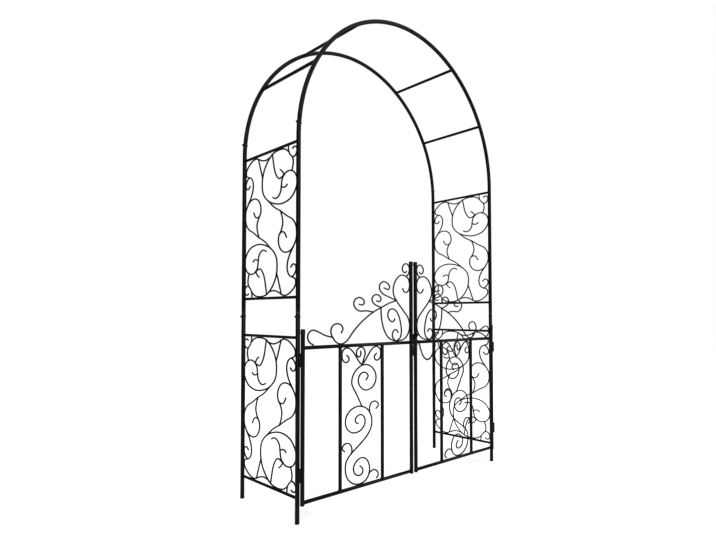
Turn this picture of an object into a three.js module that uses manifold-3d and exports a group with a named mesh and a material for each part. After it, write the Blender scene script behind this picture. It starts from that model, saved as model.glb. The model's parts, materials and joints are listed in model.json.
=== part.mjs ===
// Garden arch with a pair of gate leaves. The frame is round tube in plug-together
// sections, the sides hold wire scrollwork, and a drop pin latches the two leaves.
// Millimetres: +X across the path, +Y away from the gate, +Z up.
import * as THREE from 'three';
import { mergeVertices } from 'three/addons/utils/BufferGeometryUtils.js';
import Module from 'manifold-3d';

const wasm = await Module();
wasm.setup();

// Frame, between the centre lines of its tubes
const SPAN = 1200;
const DEPTH = 366;
const SPRING_HEIGHT = 1370;
const LOWER_JOINT_HEIGHT = 736;
const UPPER_JOINT_RISE = 62;
const HOOP_RADIUS = SPAN / 2;
const HOOP_BAY_STEPS = 3;
const RUNG_ANGLES = [30, 60];

// Frame tube and the reduced ends that plug into the next section
const POST_RADIUS = 8;
const POST_WALL = 1.2;
const FOOT_THICKNESS = 2;
const SPIGOT_LENGTH = 40;
const SPIGOT_GRIP = 10;
const SPIGOT_WALL = 1.5;
const SPIGOT_STEPS = 2;
const RUNG_RADIUS = 6;

// Bolt through each post joint: a cap nut outside the arch and a low head inside it
const BOLT_RADIUS = 2.5;
const BOLT_BELOW_JOINT = 14;
const BOLT_HEAD_RADIUS = 4.2;
const BOLT_HEAD_HEIGHT = 1.8;
const NUT_RADIUS = 4.4;
const NUT_HEIGHT = 3.4;
const NUT_DOME_RADIUS = 3.2;
const NUT_DOME_HEIGHT = 2.4;
const NUT_SIDES = 6;

// Side panels
const SIDE_RAIL_RADIUS = 5;
const PANEL_HEIGHT = 560;
const LOWER_PANEL_HEIGHT_ABOVE_GROUND = 88;
const UPPER_PANEL_HEIGHT_ABOVE_GROUND = 792;

// Scroll wire
const WIRE_RADIUS = 2.75;
const WELD_DEPTH = 0.7;

// Gate leaves
const GATE_INSET = 13;
const GATE_FORWARD = 12;
const MEETING_OFFSET = 14;
const STILE_RADIUS = 7.5;
const BAR_RADIUS = 6.5;
const GATE_WALL = 1.2;
const STILE_FOOT_HEIGHT = 62;
const BOTTOM_RAIL_HEIGHT = 72;
const TOP_RAIL_HEIGHT = 612;
const HINGE_STILE_RISE = 62;
const MEETING_STILE_RISE = 340;
const BAR_INSET_SHARE = 0.305;

// Stile caps
const CAP_RADIUS = 8.8;
const CAP_SKIRT = 14;
const CAP_CROWN = 3.5;

// Hinges: a pin that stands on the post, and a blind sleeve on the stile
const BARREL_RADIUS = 5;
const BARREL_LENGTH = 24;
const BARREL_CHAMFER = 1.5;
const BARREL_GAP = 0.6;
const HINGE_PIN_RADIUS = 2.5;
const HINGE_PIN_LENGTH = 19;
const UPPER_HINGE_BELOW_RAIL = 43;
const LOWER_HINGE_ABOVE_RAIL = 96;

// Latch: two eyes in line between the meeting stiles, and a cranked drop pin. The lower eye is wide,
// so that the pin finds it.
const EYE_RADIUS = 6.2;
const LOWER_EYE_BELOW_RAIL = 57;
const LOWER_EYE_LENGTH = 45;
const EYE_GAP = 3;
const UPPER_EYE_LENGTH = 23;
const LOWER_EYE_PLAY = 1.9;
const LATCH_PIN_RADIUS = 3;
const LATCH_PIN_LIFT = 14;
const LATCH_PIN_CLEAR = 2;
const HANDLE_REACH = 20;
const KNOB_RADIUS = 7;

// Chain that hangs in front of the right leaf's top rail, beside its meeting stile
const CHAIN_RADIUS = 1.5;
const CHAIN_START = 14;
const CHAIN_SPAN = 112;
const CHAIN_SAG = 80;
const CHAIN_STEPS = 16;

// Fits and facets
const CLEARANCE = 0.3;
const OVERRUN = 20;
const POST_SIDES = 12;
const BAR_SIDES = 8;
const WIRE_SIDES = 4;
const KNOB_SIDES = 8;

// Crest scrolls: across from the meeting stile to the hinge stile, up from the top rail
const crestShares = [
  // heart beside the meeting stile
  [[0.08, 0.665], [0.058, 0.62], [0.03, 0.613], [0.004, 0.66], [0, 0.735], [0.02, 0.8], [0.056, 0.825],
    [0.1, 0.825], [0.15, 0.765], [0.179, 0.665], [0.176, 0.58], [0.146, 0.505], [0.069, 0.377],
    [0.02, 0.295], [0, 0.206], [0.012, 0.1], [0.06, 0.023], [0.14, 0]],
  // small curl at the top of the stile
  [[0.037, 0.815], [0.012, 0.85], [0, 0.905], [0.01, 0.958], [0.037, 0.979], [0.065, 0.961],
    [0.08, 0.913], [0.069, 0.874], [0.049, 0.862], [0.03, 0.886]],
  // long sweep down to the rail
  [[0.146, 0.505], [0.23, 0.467], [0.306, 0.416], [0.39, 0.359], [0.497, 0.251], [0.578, 0.14],
    [0.636, 0.038], [0.679, 0], [0.726, 0.008], [0.765, 0.065], [0.785, 0.14], [0.769, 0.203],
    [0.73, 0.227], [0.69, 0.206], [0.678, 0.164], [0.695, 0.119]],
  // curl beside the hinge stile
  [[0.769, 0.075], [0.836, 0.101], [0.89, 0.14], [0.935, 0.161], [0.967, 0.137], [0.979, 0.086],
    [0.965, 0.032], [0.931, 0]],
  // three curls above the sweep
  [[0.146, 0.505], [0.221, 0.545], [0.292, 0.587], [0.324, 0.64], [0.319, 0.7], [0.283, 0.733],
    [0.242, 0.715], [0.219, 0.673], [0.23, 0.64], [0.28, 0.658]],
  [[0.306, 0.416], [0.372, 0.452], [0.401, 0.5], [0.39, 0.55], [0.358, 0.571], [0.324, 0.556],
    [0.31, 0.52], [0.324, 0.488], [0.358, 0.497]],
  [[0.387, 0.36], [0.453, 0.374], [0.529, 0.374], [0.569, 0.416], [0.578, 0.467], [0.56, 0.511],
    [0.519, 0.53], [0.483, 0.5], [0.479, 0.461], [0.503, 0.443], [0.529, 0.452]],
  // oval under the sweep, with the curl inside it
  [[0.31, 0.412], [0.308, 0.326], [0.296, 0.221], [0.269, 0.116], [0.23, 0.044], [0.176, 0.008],
    [0.14, 0]],
  [[0.164, 0.284], [0.171, 0.254], [0.198, 0.242], [0.226, 0.275], [0.239, 0.326], [0.226, 0.377],
    [0.194, 0.401], [0.155, 0.38], [0.123, 0.32], [0.101, 0.221], [0.092, 0.116], [0.105, 0.044],
    [0.146, 0]],
  [[0.126, 0.104], [0.148, 0.14], [0.173, 0.134], [0.19, 0.092], [0.183, 0.038], [0.15, 0]],
];

// Leaf panel scrolls: across from the hinge side at -1 to the meeting side at 1, up from the bottom rail
const topCurlShares = [
  [-0.78, 0.949], [-0.66, 0.928], [-0.68, 0.905], [-0.81, 0.895], [-0.96, 0.913], [-1, 0.949],
  [-0.96, 0.98], [-0.78, 1], [-0.56, 0.987], [-0.35, 0.945], [-0.16, 0.897], [0, 0.869],
];
const leafPanelShares = [
  topCurlShares,
  topCurlShares.map(([across, up]) => [-across, up]),
  // loop between the top curls
  [[-0.07, 0.974], [-0.06, 0.945], [-0.14, 0.928], [-0.255, 0.94], [-0.275, 0.97], [-0.16, 0.995],
    [0, 1], [0.13, 0.98], [0.16, 0.95], [0.1, 0.913], [0, 0.869]],
  // upper spiral, then the diagonal under it
  [[0.2, 0.752], [0.32, 0.783], [0.21, 0.808], [0, 0.81], [-0.16, 0.781], [-0.18, 0.741], [-0.04, 0.7],
    [0.16, 0.681], [0.39, 0.683], [0.61, 0.706], [0.735, 0.75], [0.705, 0.802], [0.53, 0.844],
    [0.275, 0.867], [0, 0.865], [-0.255, 0.84], [-0.45, 0.798], [-0.52, 0.745], [-0.47, 0.716],
    [-0.255, 0.649], [0, 0.562]],
  // long S: middle spiral, down across the panel, round the bottom spiral
  [[-0.18, 0.441], [-0.31, 0.452], [-0.33, 0.479], [-0.18, 0.502], [0, 0.5], [0.14, 0.473],
    [0.15, 0.435], [0, 0.397], [-0.225, 0.38], [-0.495, 0.383], [-0.735, 0.414], [-0.83, 0.462],
    [-0.755, 0.515], [-0.495, 0.555], [-0.21, 0.567], [0.03, 0.561], [0.27, 0.538], [0.45, 0.496],
    [0.515, 0.443], [0.46, 0.391], [0.255, 0.34], [-0.14, 0.284], [-0.54, 0.234], [-0.785, 0.185],
    [-0.83, 0.124], [-0.735, 0.063], [-0.45, 0.015], [-0.11, 0], [0.2, 0.017], [0.37, 0.06],
    [0.38, 0.114], [0.23, 0.168], [-0.04, 0.187], [-0.29, 0.168], [-0.43, 0.127], [-0.37, 0.085],
    [-0.18, 0.063], [0, 0.07], [0.04, 0.1], [-0.11, 0.133]],
  // side curls
  [[0.4, 0.508], [0.4, 0.55], [0.475, 0.577], [0.64, 0.588], [0.8, 0.578], [0.87, 0.554], [0.725, 0.529]],
  [[-0.52, 0.236], [-0.515, 0.271], [-0.6, 0.301], [-0.755, 0.315], [-0.92, 0.305], [-0.985, 0.282],
    [-0.86, 0.257]],
  [[0.36, 0.057], [0.465, 0.07], [0.63, 0.076], [0.785, 0.06], [0.86, 0.032], [0.755, 0.007]],
];

// Half of a side panel: away from the gate at 1, up at 1. The other half is this one turned half round.
const sidePanelHalfShares = [
  // ring at the foot of the panel, running up into the spiral
  [[0.71, -0.93], [0.56, -0.985], [0.32, -1], [0.09, -0.97], [-0.12, -0.87], [-0.26, -0.735],
    [-0.3, -0.6], [-0.26, -0.46], [-0.05, -0.335], [0.31, -0.26], [0.58, -0.258], [0.84, -0.315],
    [1, -0.445], [1, -0.55], [0.9, -0.635], [0.74, -0.67], [0.58, -0.65], [0.48, -0.59], [0.45, -0.515],
    [0.42, -0.42], [0.33, -0.36], [0.22, -0.345], [0.12, -0.37]],
  // stem from the spiral down to the rail, and the small curl beside it
  [[0.83, -0.66], [0.875, -0.755], [0.85, -0.835], [0.76, -0.885], [0.71, -0.94], [0.7, -1]],
  [[0.85, -0.835], [0.94, -0.845], [1, -0.89], [0.99, -0.95], [0.91, -0.97], [0.84, -0.95]],
  // stem inside the ring, ending in a short tick
  [[0.1, -0.972], [0.15, -0.83], [0.2, -0.725], [0.28, -0.645], [0.36, -0.605], [0.46, -0.615],
    [0.56, -0.645]],
  [[0.55, -0.635], [0.48, -0.69], [0.4, -0.725]],
  [[0.45, -0.485], [0.54, -0.465], [0.61, -0.47], [0.67, -0.495]],
  // long S up the outer post
  [[-0.05, -0.335], [0.19, -0.225], [0.42, -0.155], [0.67, -0.065], [0.85, -0.01], [0.96, 0.065],
    [1, 0.155], [0.985, 0.265], [0.88, 0.365], [0.77, 0.45], [0.69, 0.55], [0.675, 0.645],
    [0.73, 0.72], [0.84, 0.755], [0.94, 0.715], [0.99, 0.655], [0.955, 0.6], [0.875, 0.59],
    [0.8, 0.63]],
  // bow from the top rail to the S, and the two strokes beside it
  [[0.55, 1], [0.7, 0.985], [0.85, 0.935], [0.97, 0.86], [0.96, 0.79], [0.84, 0.755]],
  [[-0.03, 0.945], [0.13, 0.925], [0.28, 0.935], [0.43, 0.97], [0.55, 1]],
  [[0.46, 0.978], [0.41, 0.89], [0.35, 0.79], [0.285, 0.69]],
  // curl in the belly of the S, and the bow under it
  [[0.88, 0.365], [0.78, 0.405], [0.62, 0.42], [0.47, 0.39], [0.375, 0.32], [0.345, 0.24],
    [0.38, 0.165], [0.47, 0.135], [0.565, 0.15], [0.65, 0.225]],
  [[0.39, 0.16], [0.46, 0.1], [0.505, 0.02], [0.48, -0.07], [0.42, -0.155]],
];
const sidePanelShares = sidePanelHalfShares.concat(
  sidePanelHalfShares.map((stroke) => stroke.map(([across, up]) => [-across, -up])),
);

// A curve that keeps its own spacing, so tight curls get as many steps as their points ask for
class ScrollCurve extends THREE.CatmullRomCurve3 {
  getUtoTmapping(u) {
    return u;
  }
}

// Centre line of one post and its quarter hoop. The run is the distance along it from the
// ground, and inward is the way it bends along X.
function frameAngle(run) {
  return Math.max(0, run - SPRING_HEIGHT) / HOOP_RADIUS;
}

function framePoint(run, inward) {
  const angle = frameAngle(run);
  const x = inward * HOOP_RADIUS * (1 - Math.cos(angle));
  const z = Math.min(run, SPRING_HEIGHT) + HOOP_RADIUS * Math.sin(angle);
  return new THREE.Vector3(x, 0, z);
}

class FrameCurve extends THREE.Curve {
  constructor(stops, inward) {
    super();
    this.stops = stops;
    this.inward = inward;
  }

  getUtoTmapping(u) {
    return u;
  }

  getPoint(t, target = new THREE.Vector3()) {
    const place = t * (this.stops.length - 1);
    const index = Math.min(Math.floor(place), this.stops.length - 2);
    const run = THREE.MathUtils.lerp(this.stops[index], this.stops[index + 1], place - index);
    return target.copy(framePoint(run, this.inward));
  }
}

class ChainCurve extends THREE.Curve {
  getPoint(t, target = new THREE.Vector3()) {
    const fromMiddle = 2 * t - 1;
    return target.set(CHAIN_SPAN * t, 0, -CHAIN_SAG * (1 - fromMiddle * fromMiddle));
  }
}

function toSolid(geometry) {
  geometry.deleteAttribute('normal');
  geometry.deleteAttribute('uv');
  const merged = mergeVertices(geometry);
  return new wasm.Manifold(new wasm.Mesh({
    numProp: 3,
    vertProperties: new Float32Array(merged.attributes.position.array),
    triVerts: new Uint32Array(merged.index.array),
  }));
}

function toGeometry(solid) {
  const mesh = solid.getMesh();
  const geometry = new THREE.BufferGeometry();
  geometry.setAttribute('position', new THREE.BufferAttribute(new Float32Array(mesh.vertProperties), 3));
  geometry.setIndex(new THREE.BufferAttribute(new Uint32Array(mesh.triVerts), 1));
  geometry.computeVertexNormals();
  return geometry;
}

function polygon(radius, sides) {
  const corners = [];
  for (let i = 0; i < sides; i += 1) {
    const angle = (2 * Math.PI * i) / sides;
    corners.push(new THREE.Vector2(radius * Math.cos(angle), radius * Math.sin(angle)));
  }
  return corners;
}

// Round bar along a curve, or tube where a bore is given
function sweep(curve, radius, bore, sides, steps) {
  const shape = new THREE.Shape(polygon(radius, sides));
  if (bore > 0) {
    shape.holes.push(new THREE.Path(polygon(bore, sides)));
  }
  return toSolid(new THREE.ExtrudeGeometry(shape, { extrudePath: curve, steps, bevelEnabled: false }));
}

function straight(from, to, radius, bore, sides) {
  return sweep(new THREE.LineCurve3(from, to), radius, bore, sides, 1);
}

function upright(x, y, low, high, radius, bore, sides) {
  return straight(new THREE.Vector3(x, y, low), new THREE.Vector3(x, y, high), radius, bore, sides);
}

function turned(profile, sides) {
  const points = profile.map(([radius, height]) => new THREE.Vector2(radius, height));
  const geometry = new THREE.LatheGeometry(points, sides);
  geometry.rotateX(Math.PI / 2);
  return toSolid(geometry);
}

function joined(solids) {
  return solids.reduce((sum, solid) => sum.add(solid));
}

function cutBy(solid, cutters) {
  return cutters.reduce((rest, cutter) => rest.subtract(cutter), solid);
}

function evenStops(from, to, steps) {
  return Array.from({ length: steps + 1 }, (_, i) => from + ((to - from) * i) / steps);
}

// One scrollwork panel: every stroke is a wire through its points, all welded into one grille
function scrollwork(strokes, toPoint, cutters) {
  const wires = strokes.map((stroke) => {
    const curve = new ScrollCurve(stroke.map(([across, up]) => toPoint(across, up)));
    return sweep(curve, WIRE_RADIUS, 0, WIRE_SIDES, stroke.length - 1);
  });
  return cutBy(joined(wires), cutters);
}

function paintedSteel() {
  return new THREE.MeshStandardMaterial({ color: 0x141517, roughness: 0.42, metalness: 0.55 });
}

function blackPlastic() {
  return new THREE.MeshStandardMaterial({ color: 0x0d0d0e, roughness: 0.6, metalness: 0 });
}

function platedSteel() {
  return new THREE.MeshStandardMaterial({ color: 0x4a4b4e, roughness: 0.35, metalness: 0.9 });
}

function addPiece(group, name, solid, material) {
  const mesh = new THREE.Mesh(toGeometry(solid), material);
  mesh.name = name;
  group.add(mesh);
  return mesh;
}

// Frame tubes
const POST_BORE = POST_RADIUS - POST_WALL;
const SPIGOT_RADIUS = POST_BORE - CLEARANCE;
const SPIGOT_BORE = SPIGOT_RADIUS - SPIGOT_WALL;
const UPPER_JOINT_RUN = SPRING_HEIGHT + HOOP_RADIUS * Math.asin(UPPER_JOINT_RISE / HOOP_RADIUS);
const CROWN_RUN = SPRING_HEIGHT + (HOOP_RADIUS * Math.PI) / 2;
const LOWER_BOLT_RUN = LOWER_JOINT_HEIGHT - BOLT_BELOW_JOINT;
const UPPER_BOLT_RUN = UPPER_JOINT_RUN - BOLT_BELOW_JOINT;

// One corner of the tube's section: inward at 0, then round the centre line
function framePlace(run, radius, around, inward) {
  const angle = frameAngle(run);
  const inPlane = radius * Math.cos(around);
  const offset = new THREE.Vector3(
    inward * inPlane * Math.cos(angle), inward * radius * Math.sin(around), -inPlane * Math.sin(angle),
  );
  return framePoint(run, inward).add(offset);
}

// Tube along the frame's centre line: its wall is a closed loop of [run, radius] pairs
function frameTube(wall, inward) {
  const corners = [];
  const index = [];
  wall.forEach(([run, radius], i) => {
    const next = (i + 1) % wall.length;
    for (let k = 0; k < POST_SIDES; k += 1) {
      const after = (k + 1) % POST_SIDES;
      const near = [i * POST_SIDES + k, i * POST_SIDES + after];
      const far = [next * POST_SIDES + k, next * POST_SIDES + after];
      corners.push(framePlace(run, radius, (2 * Math.PI * k) / POST_SIDES, inward));
      index.push(near[0], near[1], far[1], near[0], far[1], far[0]);
    }
  });
  const geometry = new THREE.BufferGeometry().setFromPoints(corners);
  geometry.setIndex(index);
  return toSolid(geometry);
}

// Lays an upright solid across the frame's tube, so that its top points out of the arch
function acrossTube(solid, run, inward) {
  const at = framePoint(run, inward);
  const turn = THREE.MathUtils.radToDeg(frameAngle(run) - Math.PI / 2);
  return solid.rotate([0, inward * turn, 0]).translate([at.x, at.y, at.z]);
}

// The bolt belongs to the section that plugs in, and passes through holes in the other
function jointBolt(run, inward) {
  const seat = POST_RADIUS + CLEARANCE;
  const nutTop = seat + NUT_HEIGHT;
  const headTop = seat + BOLT_HEAD_HEIGHT;
  const bolt = turned([
    [0, -headTop], [BOLT_HEAD_RADIUS - BOLT_HEAD_HEIGHT, -headTop], [BOLT_HEAD_RADIUS, -seat],
    [BOLT_RADIUS, -seat], [BOLT_RADIUS, nutTop], [0, nutTop],
  ], BAR_SIDES);
  const nut = turned([
    [0, seat], [NUT_RADIUS, seat], [NUT_RADIUS, nutTop], [NUT_DOME_RADIUS, nutTop],
    [NUT_DOME_RADIUS - NUT_DOME_HEIGHT / 2, nutTop + NUT_DOME_HEIGHT], [0, nutTop + NUT_DOME_HEIGHT],
  ], NUT_SIDES);
  return acrossTube(joined([bolt, nut]), run, inward);
}

function boltHole(run, inward) {
  const radius = BOLT_RADIUS + CLEARANCE;
  const reach = POST_RADIUS + CLEARANCE;
  const hole = turned([[0, -reach], [radius, -reach], [radius, reach], [0, reach]], BAR_SIDES);
  return acrossTube(hole, run, inward);
}

function lowerPost(inward) {
  const tube = turned([
    [0, 0], [POST_RADIUS, 0], [POST_RADIUS, LOWER_JOINT_HEIGHT], [POST_BORE, LOWER_JOINT_HEIGHT],
    [POST_BORE, FOOT_THICKNESS], [0, FOOT_THICKNESS],
  ], POST_SIDES);
  return cutBy(tube, [boltHole(LOWER_BOLT_RUN, inward)]);
}

// The reduced lower end plugs into the section below it
function upperPost(inward) {
  const foot = LOWER_JOINT_HEIGHT;
  const bend = evenStops(SPRING_HEIGHT, UPPER_JOINT_RUN, SPIGOT_STEPS);
  const outside = [foot + CLEARANCE, ...bend].map((run) => [run, POST_RADIUS]);
  const inside = [foot + SPIGOT_GRIP, ...bend].map((run) => [run, POST_BORE]);
  const tube = frameTube([
    [foot - SPIGOT_LENGTH, SPIGOT_RADIUS], [foot + CLEARANCE, SPIGOT_RADIUS], ...outside,
    ...inside.reverse(), [foot + SPIGOT_GRIP, SPIGOT_BORE], [foot - SPIGOT_LENGTH, SPIGOT_BORE],
  ], inward);
  const bolted = joined([tube, jointBolt(LOWER_BOLT_RUN, inward)]);
  return cutBy(bolted, [boltHole(UPPER_BOLT_RUN, inward)]);
}

function rungRun(angle) {
  return SPRING_HEIGHT + HOOP_RADIUS * THREE.MathUtils.degToRad(angle);
}

// Sections of a quarter hoop, from inside its lower plug to the crown
function hoopStops() {
  const ends = [UPPER_JOINT_RUN + SPIGOT_GRIP, ...RUNG_ANGLES.map(rungRun), CROWN_RUN - SPIGOT_LENGTH];
  const bays = ends.slice(1).flatMap((end, i) => (
    evenStops(ends[i], end, HOOP_BAY_STEPS).slice(0, -1)
  ));
  const crown = [CROWN_RUN - SPIGOT_LENGTH, CROWN_RUN - SPIGOT_LENGTH / 2, CROWN_RUN - SPIGOT_GRIP];
  return [...bays, ...crown];
}

// Both quarters plug into the posts, and the right one also plugs into the left at the crown
function hoopQuarter(inward, plugsIntoCrown) {
  const foot = UPPER_JOINT_RUN;
  const face = CROWN_RUN - CLEARANCE;
  const lowerPlug = evenStops(foot - SPIGOT_LENGTH, foot + CLEARANCE, SPIGOT_STEPS);
  const crownPlug = evenStops(face, CROWN_RUN + SPIGOT_LENGTH, SPIGOT_STEPS);
  const stops = hoopStops();
  const outside = [foot + CLEARANCE, ...stops, face].map((run) => [run, POST_RADIUS]);
  const inside = stops.map((run) => [run, POST_BORE]).reverse();
  const crown = plugsIntoCrown
    ? [...crownPlug.map((run) => [run, SPIGOT_RADIUS]),
      ...[...crownPlug].reverse().map((run) => [run, SPIGOT_BORE]),
      [CROWN_RUN - SPIGOT_GRIP, SPIGOT_BORE]]
    : [[face, POST_BORE]];
  const tube = frameTube([
    ...lowerPlug.map((run) => [run, SPIGOT_RADIUS]), ...outside, ...crown, ...inside,
    [foot + SPIGOT_GRIP, SPIGOT_BORE], ...lowerPlug.reverse().map((run) => [run, SPIGOT_BORE]),
  ], inward);
  return joined([tube, jointBolt(UPPER_BOLT_RUN, inward)]);
}

function rung(angle) {
  const turn = THREE.MathUtils.degToRad(angle);
  const x = HOOP_RADIUS * (1 - Math.cos(turn));
  const z = SPRING_HEIGHT + HOOP_RADIUS * Math.sin(turn);
  const bar = straight(
    new THREE.Vector3(x, -DEPTH / 2, z), new THREE.Vector3(x, DEPTH / 2, z), RUNG_RADIUS, 0, BAR_SIDES,
  );
  const curve = new FrameCurve(hoopStops(), 1);
  const hoops = [-1, 1].map((end) => (
    sweep(curve, POST_RADIUS + CLEARANCE, 0, POST_SIDES, curve.stops.length - 1)
      .translate([0, (end * DEPTH) / 2, 0])
  ));
  return cutBy(bar, hoops);
}

function buildFrame(arch) {
  for (const [sideName, side] of [['left', -1], ['right', 1]]) {
    for (const [endName, end] of [['front', -1], ['back', 1]]) {
      const corner = new THREE.Group();
      corner.position.set((side * SPAN) / 2, (end * DEPTH) / 2, 0);
      arch.add(corner);
      addPiece(corner, `lower_post_${endName}_${sideName}`, lowerPost(-side), paintedSteel());
      addPiece(corner, `upper_post_${endName}_${sideName}`, upperPost(-side), paintedSteel());
      addPiece(corner, `hoop_${endName}_${sideName}`, hoopQuarter(-side, side > 0), paintedSteel());
    }
    for (const angle of RUNG_ANGLES) {
      const bar = addPiece(arch, `roof_rung_${sideName}_${angle}`, rung(angle), paintedSteel());
      bar.position.x = (side * SPAN) / 2;
      bar.rotation.z = side > 0 ? Math.PI : 0;
    }
  }
}

// Side panels: two rails and a scrollwork grille between the front and back posts
function sideRail(height) {
  const bar = straight(
    new THREE.Vector3(0, -DEPTH / 2, height), new THREE.Vector3(0, DEPTH / 2, height),
    SIDE_RAIL_RADIUS, 0, BAR_SIDES,
  );
  return cutBy(bar, panelPosts());
}

function panelPosts() {
  return [-1, 1].map((end) => upright(
    0, (end * DEPTH) / 2, -OVERRUN, PANEL_HEIGHT + OVERRUN, POST_RADIUS + CLEARANCE, 0, POST_SIDES,
  ));
}

function panelRails() {
  return [0, PANEL_HEIGHT].map((height) => straight(
    new THREE.Vector3(0, -DEPTH / 2, height), new THREE.Vector3(0, DEPTH / 2, height),
    SIDE_RAIL_RADIUS + CLEARANCE, 0, BAR_SIDES,
  ));
}

function sideScroll(way) {
  const halfWidth = DEPTH / 2 - POST_RADIUS - WIRE_RADIUS + WELD_DEPTH;
  const halfHeight = PANEL_HEIGHT / 2 - SIDE_RAIL_RADIUS - WIRE_RADIUS + WELD_DEPTH;
  const toPoint = (across, up) => new THREE.Vector3(
    0, across * halfWidth, PANEL_HEIGHT / 2 + way * up * halfHeight,
  );
  return scrollwork(sidePanelShares, toPoint, [...panelPosts(), ...panelRails()]);
}

function buildSidePanels(arch) {
  const levels = [
    ['lower', LOWER_PANEL_HEIGHT_ABOVE_GROUND, -1],
    ['upper', UPPER_PANEL_HEIGHT_ABOVE_GROUND, 1],
  ];
  for (const [sideName, side] of [['left', -1], ['right', 1]]) {
    for (const [level, height, way] of levels) {
      const panel = new THREE.Group();
      panel.position.set((side * SPAN) / 2, 0, height);
      arch.add(panel);
      addPiece(panel, `${level}_panel_bottom_rail_${sideName}`, sideRail(0), paintedSteel());
      addPiece(panel, `${level}_panel_top_rail_${sideName}`, sideRail(PANEL_HEIGHT), paintedSteel());
      addPiece(panel, `${level}_panel_scroll_${sideName}`, sideScroll(way), paintedSteel());
    }
  }
}

// Hinge axis: in the notch in front of the post and the hinge stile, clear of both by the same fit
const postReach = POST_RADIUS + BARREL_RADIUS + CLEARANCE;
const stileReach = STILE_RADIUS + BARREL_RADIUS + CLEARANCE;
const postToStile = Math.hypot(GATE_INSET, GATE_FORWARD);
const alongNotch = (postReach ** 2 - stileReach ** 2 + postToStile ** 2) / (2 * postToStile);
const outOfNotch = Math.sqrt(postReach ** 2 - alongNotch ** 2);
const axisInset = (GATE_INSET * alongNotch - GATE_FORWARD * outOfNotch) / postToStile;
const axisForward = (GATE_FORWARD * alongNotch + GATE_INSET * outOfNotch) / postToStile;

// Leaf sizes, measured from the hinge axis: inward along X and back along Y
const stileInset = GATE_INSET - axisInset;
const leafPlane = axisForward - GATE_FORWARD;
const leafWidth = SPAN / 2 - GATE_INSET - MEETING_OFFSET;
const leafHeight = TOP_RAIL_HEIGHT - BOTTOM_RAIL_HEIGHT;
const hingeStileTop = TOP_RAIL_HEIGHT + HINGE_STILE_RISE;
const meetingStileTop = TOP_RAIL_HEIGHT + MEETING_STILE_RISE;
const hingeHeights = {
  upper: TOP_RAIL_HEIGHT - UPPER_HINGE_BELOW_RAIL,
  lower: BOTTOM_RAIL_HEIGHT + LOWER_HINGE_ABOVE_RAIL,
};
const barPlaces = { outer: leafWidth * BAR_INSET_SHARE, inner: leafWidth * (1 - BAR_INSET_SHARE) };

function leafPoint(inward, across, height) {
  return new THREE.Vector3(inward * (stileInset + across), leafPlane, height);
}

function leafUpright(inward, across, low, high, radius, bore, sides) {
  const from = leafPoint(inward, across, low);
  const to = leafPoint(inward, across, high);
  return straight(from, to, radius, bore, sides);
}

function leafCross(inward, height, radius, bore) {
  const from = leafPoint(inward, 0, height);
  const to = leafPoint(inward, leafWidth, height);
  return straight(from, to, radius, bore, BAR_SIDES);
}

function stileCutters(inward) {
  return [0, leafWidth].map((across) => leafUpright(
    inward, across, STILE_FOOT_HEIGHT - OVERRUN, meetingStileTop + OVERRUN,
    STILE_RADIUS + CLEARANCE, 0, POST_SIDES,
  ));
}

function railCutters(inward) {
  return [BOTTOM_RAIL_HEIGHT, TOP_RAIL_HEIGHT].map((height) => (
    leafCross(inward, height, BAR_RADIUS + CLEARANCE, 0)
  ));
}

function barCutters(inward) {
  return Object.values(barPlaces).map((across) => leafUpright(
    inward, across, BOTTOM_RAIL_HEIGHT, TOP_RAIL_HEIGHT, BAR_RADIUS + CLEARANCE, 0, BAR_SIDES,
  ));
}

function leafRail(inward, height) {
  return cutBy(leafCross(inward, height, BAR_RADIUS, BAR_RADIUS - GATE_WALL), stileCutters(inward));
}

function leafBar(inward, across) {
  const bar = leafUpright(
    inward, across, BOTTOM_RAIL_HEIGHT, TOP_RAIL_HEIGHT, BAR_RADIUS, BAR_RADIUS - GATE_WALL, BAR_SIDES,
  );
  return cutBy(bar, railCutters(inward));
}

function stile(inward, across, top) {
  return leafUpright(
    inward, across, STILE_FOOT_HEIGHT, top, STILE_RADIUS, STILE_RADIUS - GATE_WALL, POST_SIDES,
  );
}

function crestScroll(inward) {
  const railTouch = BAR_RADIUS + WIRE_RADIUS - WELD_DEPTH;
  const stileTouch = STILE_RADIUS + WIRE_RADIUS - WELD_DEPTH;
  const width = leafWidth - 2 * stileTouch;
  const height = meetingStileTop - TOP_RAIL_HEIGHT - railTouch;
  const toPoint = (across, up) => leafPoint(
    inward, leafWidth - stileTouch - across * width, TOP_RAIL_HEIGHT + railTouch + up * height,
  );
  return scrollwork(crestShares, toPoint, [...stileCutters(inward), ...railCutters(inward)]);
}

function leafPanelScroll(inward) {
  const touch = BAR_RADIUS + WIRE_RADIUS - WELD_DEPTH;
  const middle = (barPlaces.outer + barPlaces.inner) / 2;
  const halfWidth = (barPlaces.inner - barPlaces.outer) / 2 - touch;
  const height = leafHeight - 2 * touch;
  const toPoint = (across, up) => leafPoint(
    inward, middle + across * halfWidth, BOTTOM_RAIL_HEIGHT + touch + up * height,
  );
  return scrollwork(leafPanelShares, toPoint, [...barCutters(inward), ...railCutters(inward)]);
}

function stileCap(inward, across, top) {
  const inside = STILE_RADIUS + CLEARANCE;
  const crown = CAP_CROWN / 2;
  const at = leafPoint(inward, across, top + CLEARANCE);
  return turned([
    [0, 0], [inside, 0], [inside, -CAP_SKIRT], [CAP_RADIUS, -CAP_SKIRT],
    [CAP_RADIUS, crown], [CAP_RADIUS - crown, CAP_CROWN], [0, CAP_CROWN],
  ], POST_SIDES).translate([at.x, at.y, at.z]);
}

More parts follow.
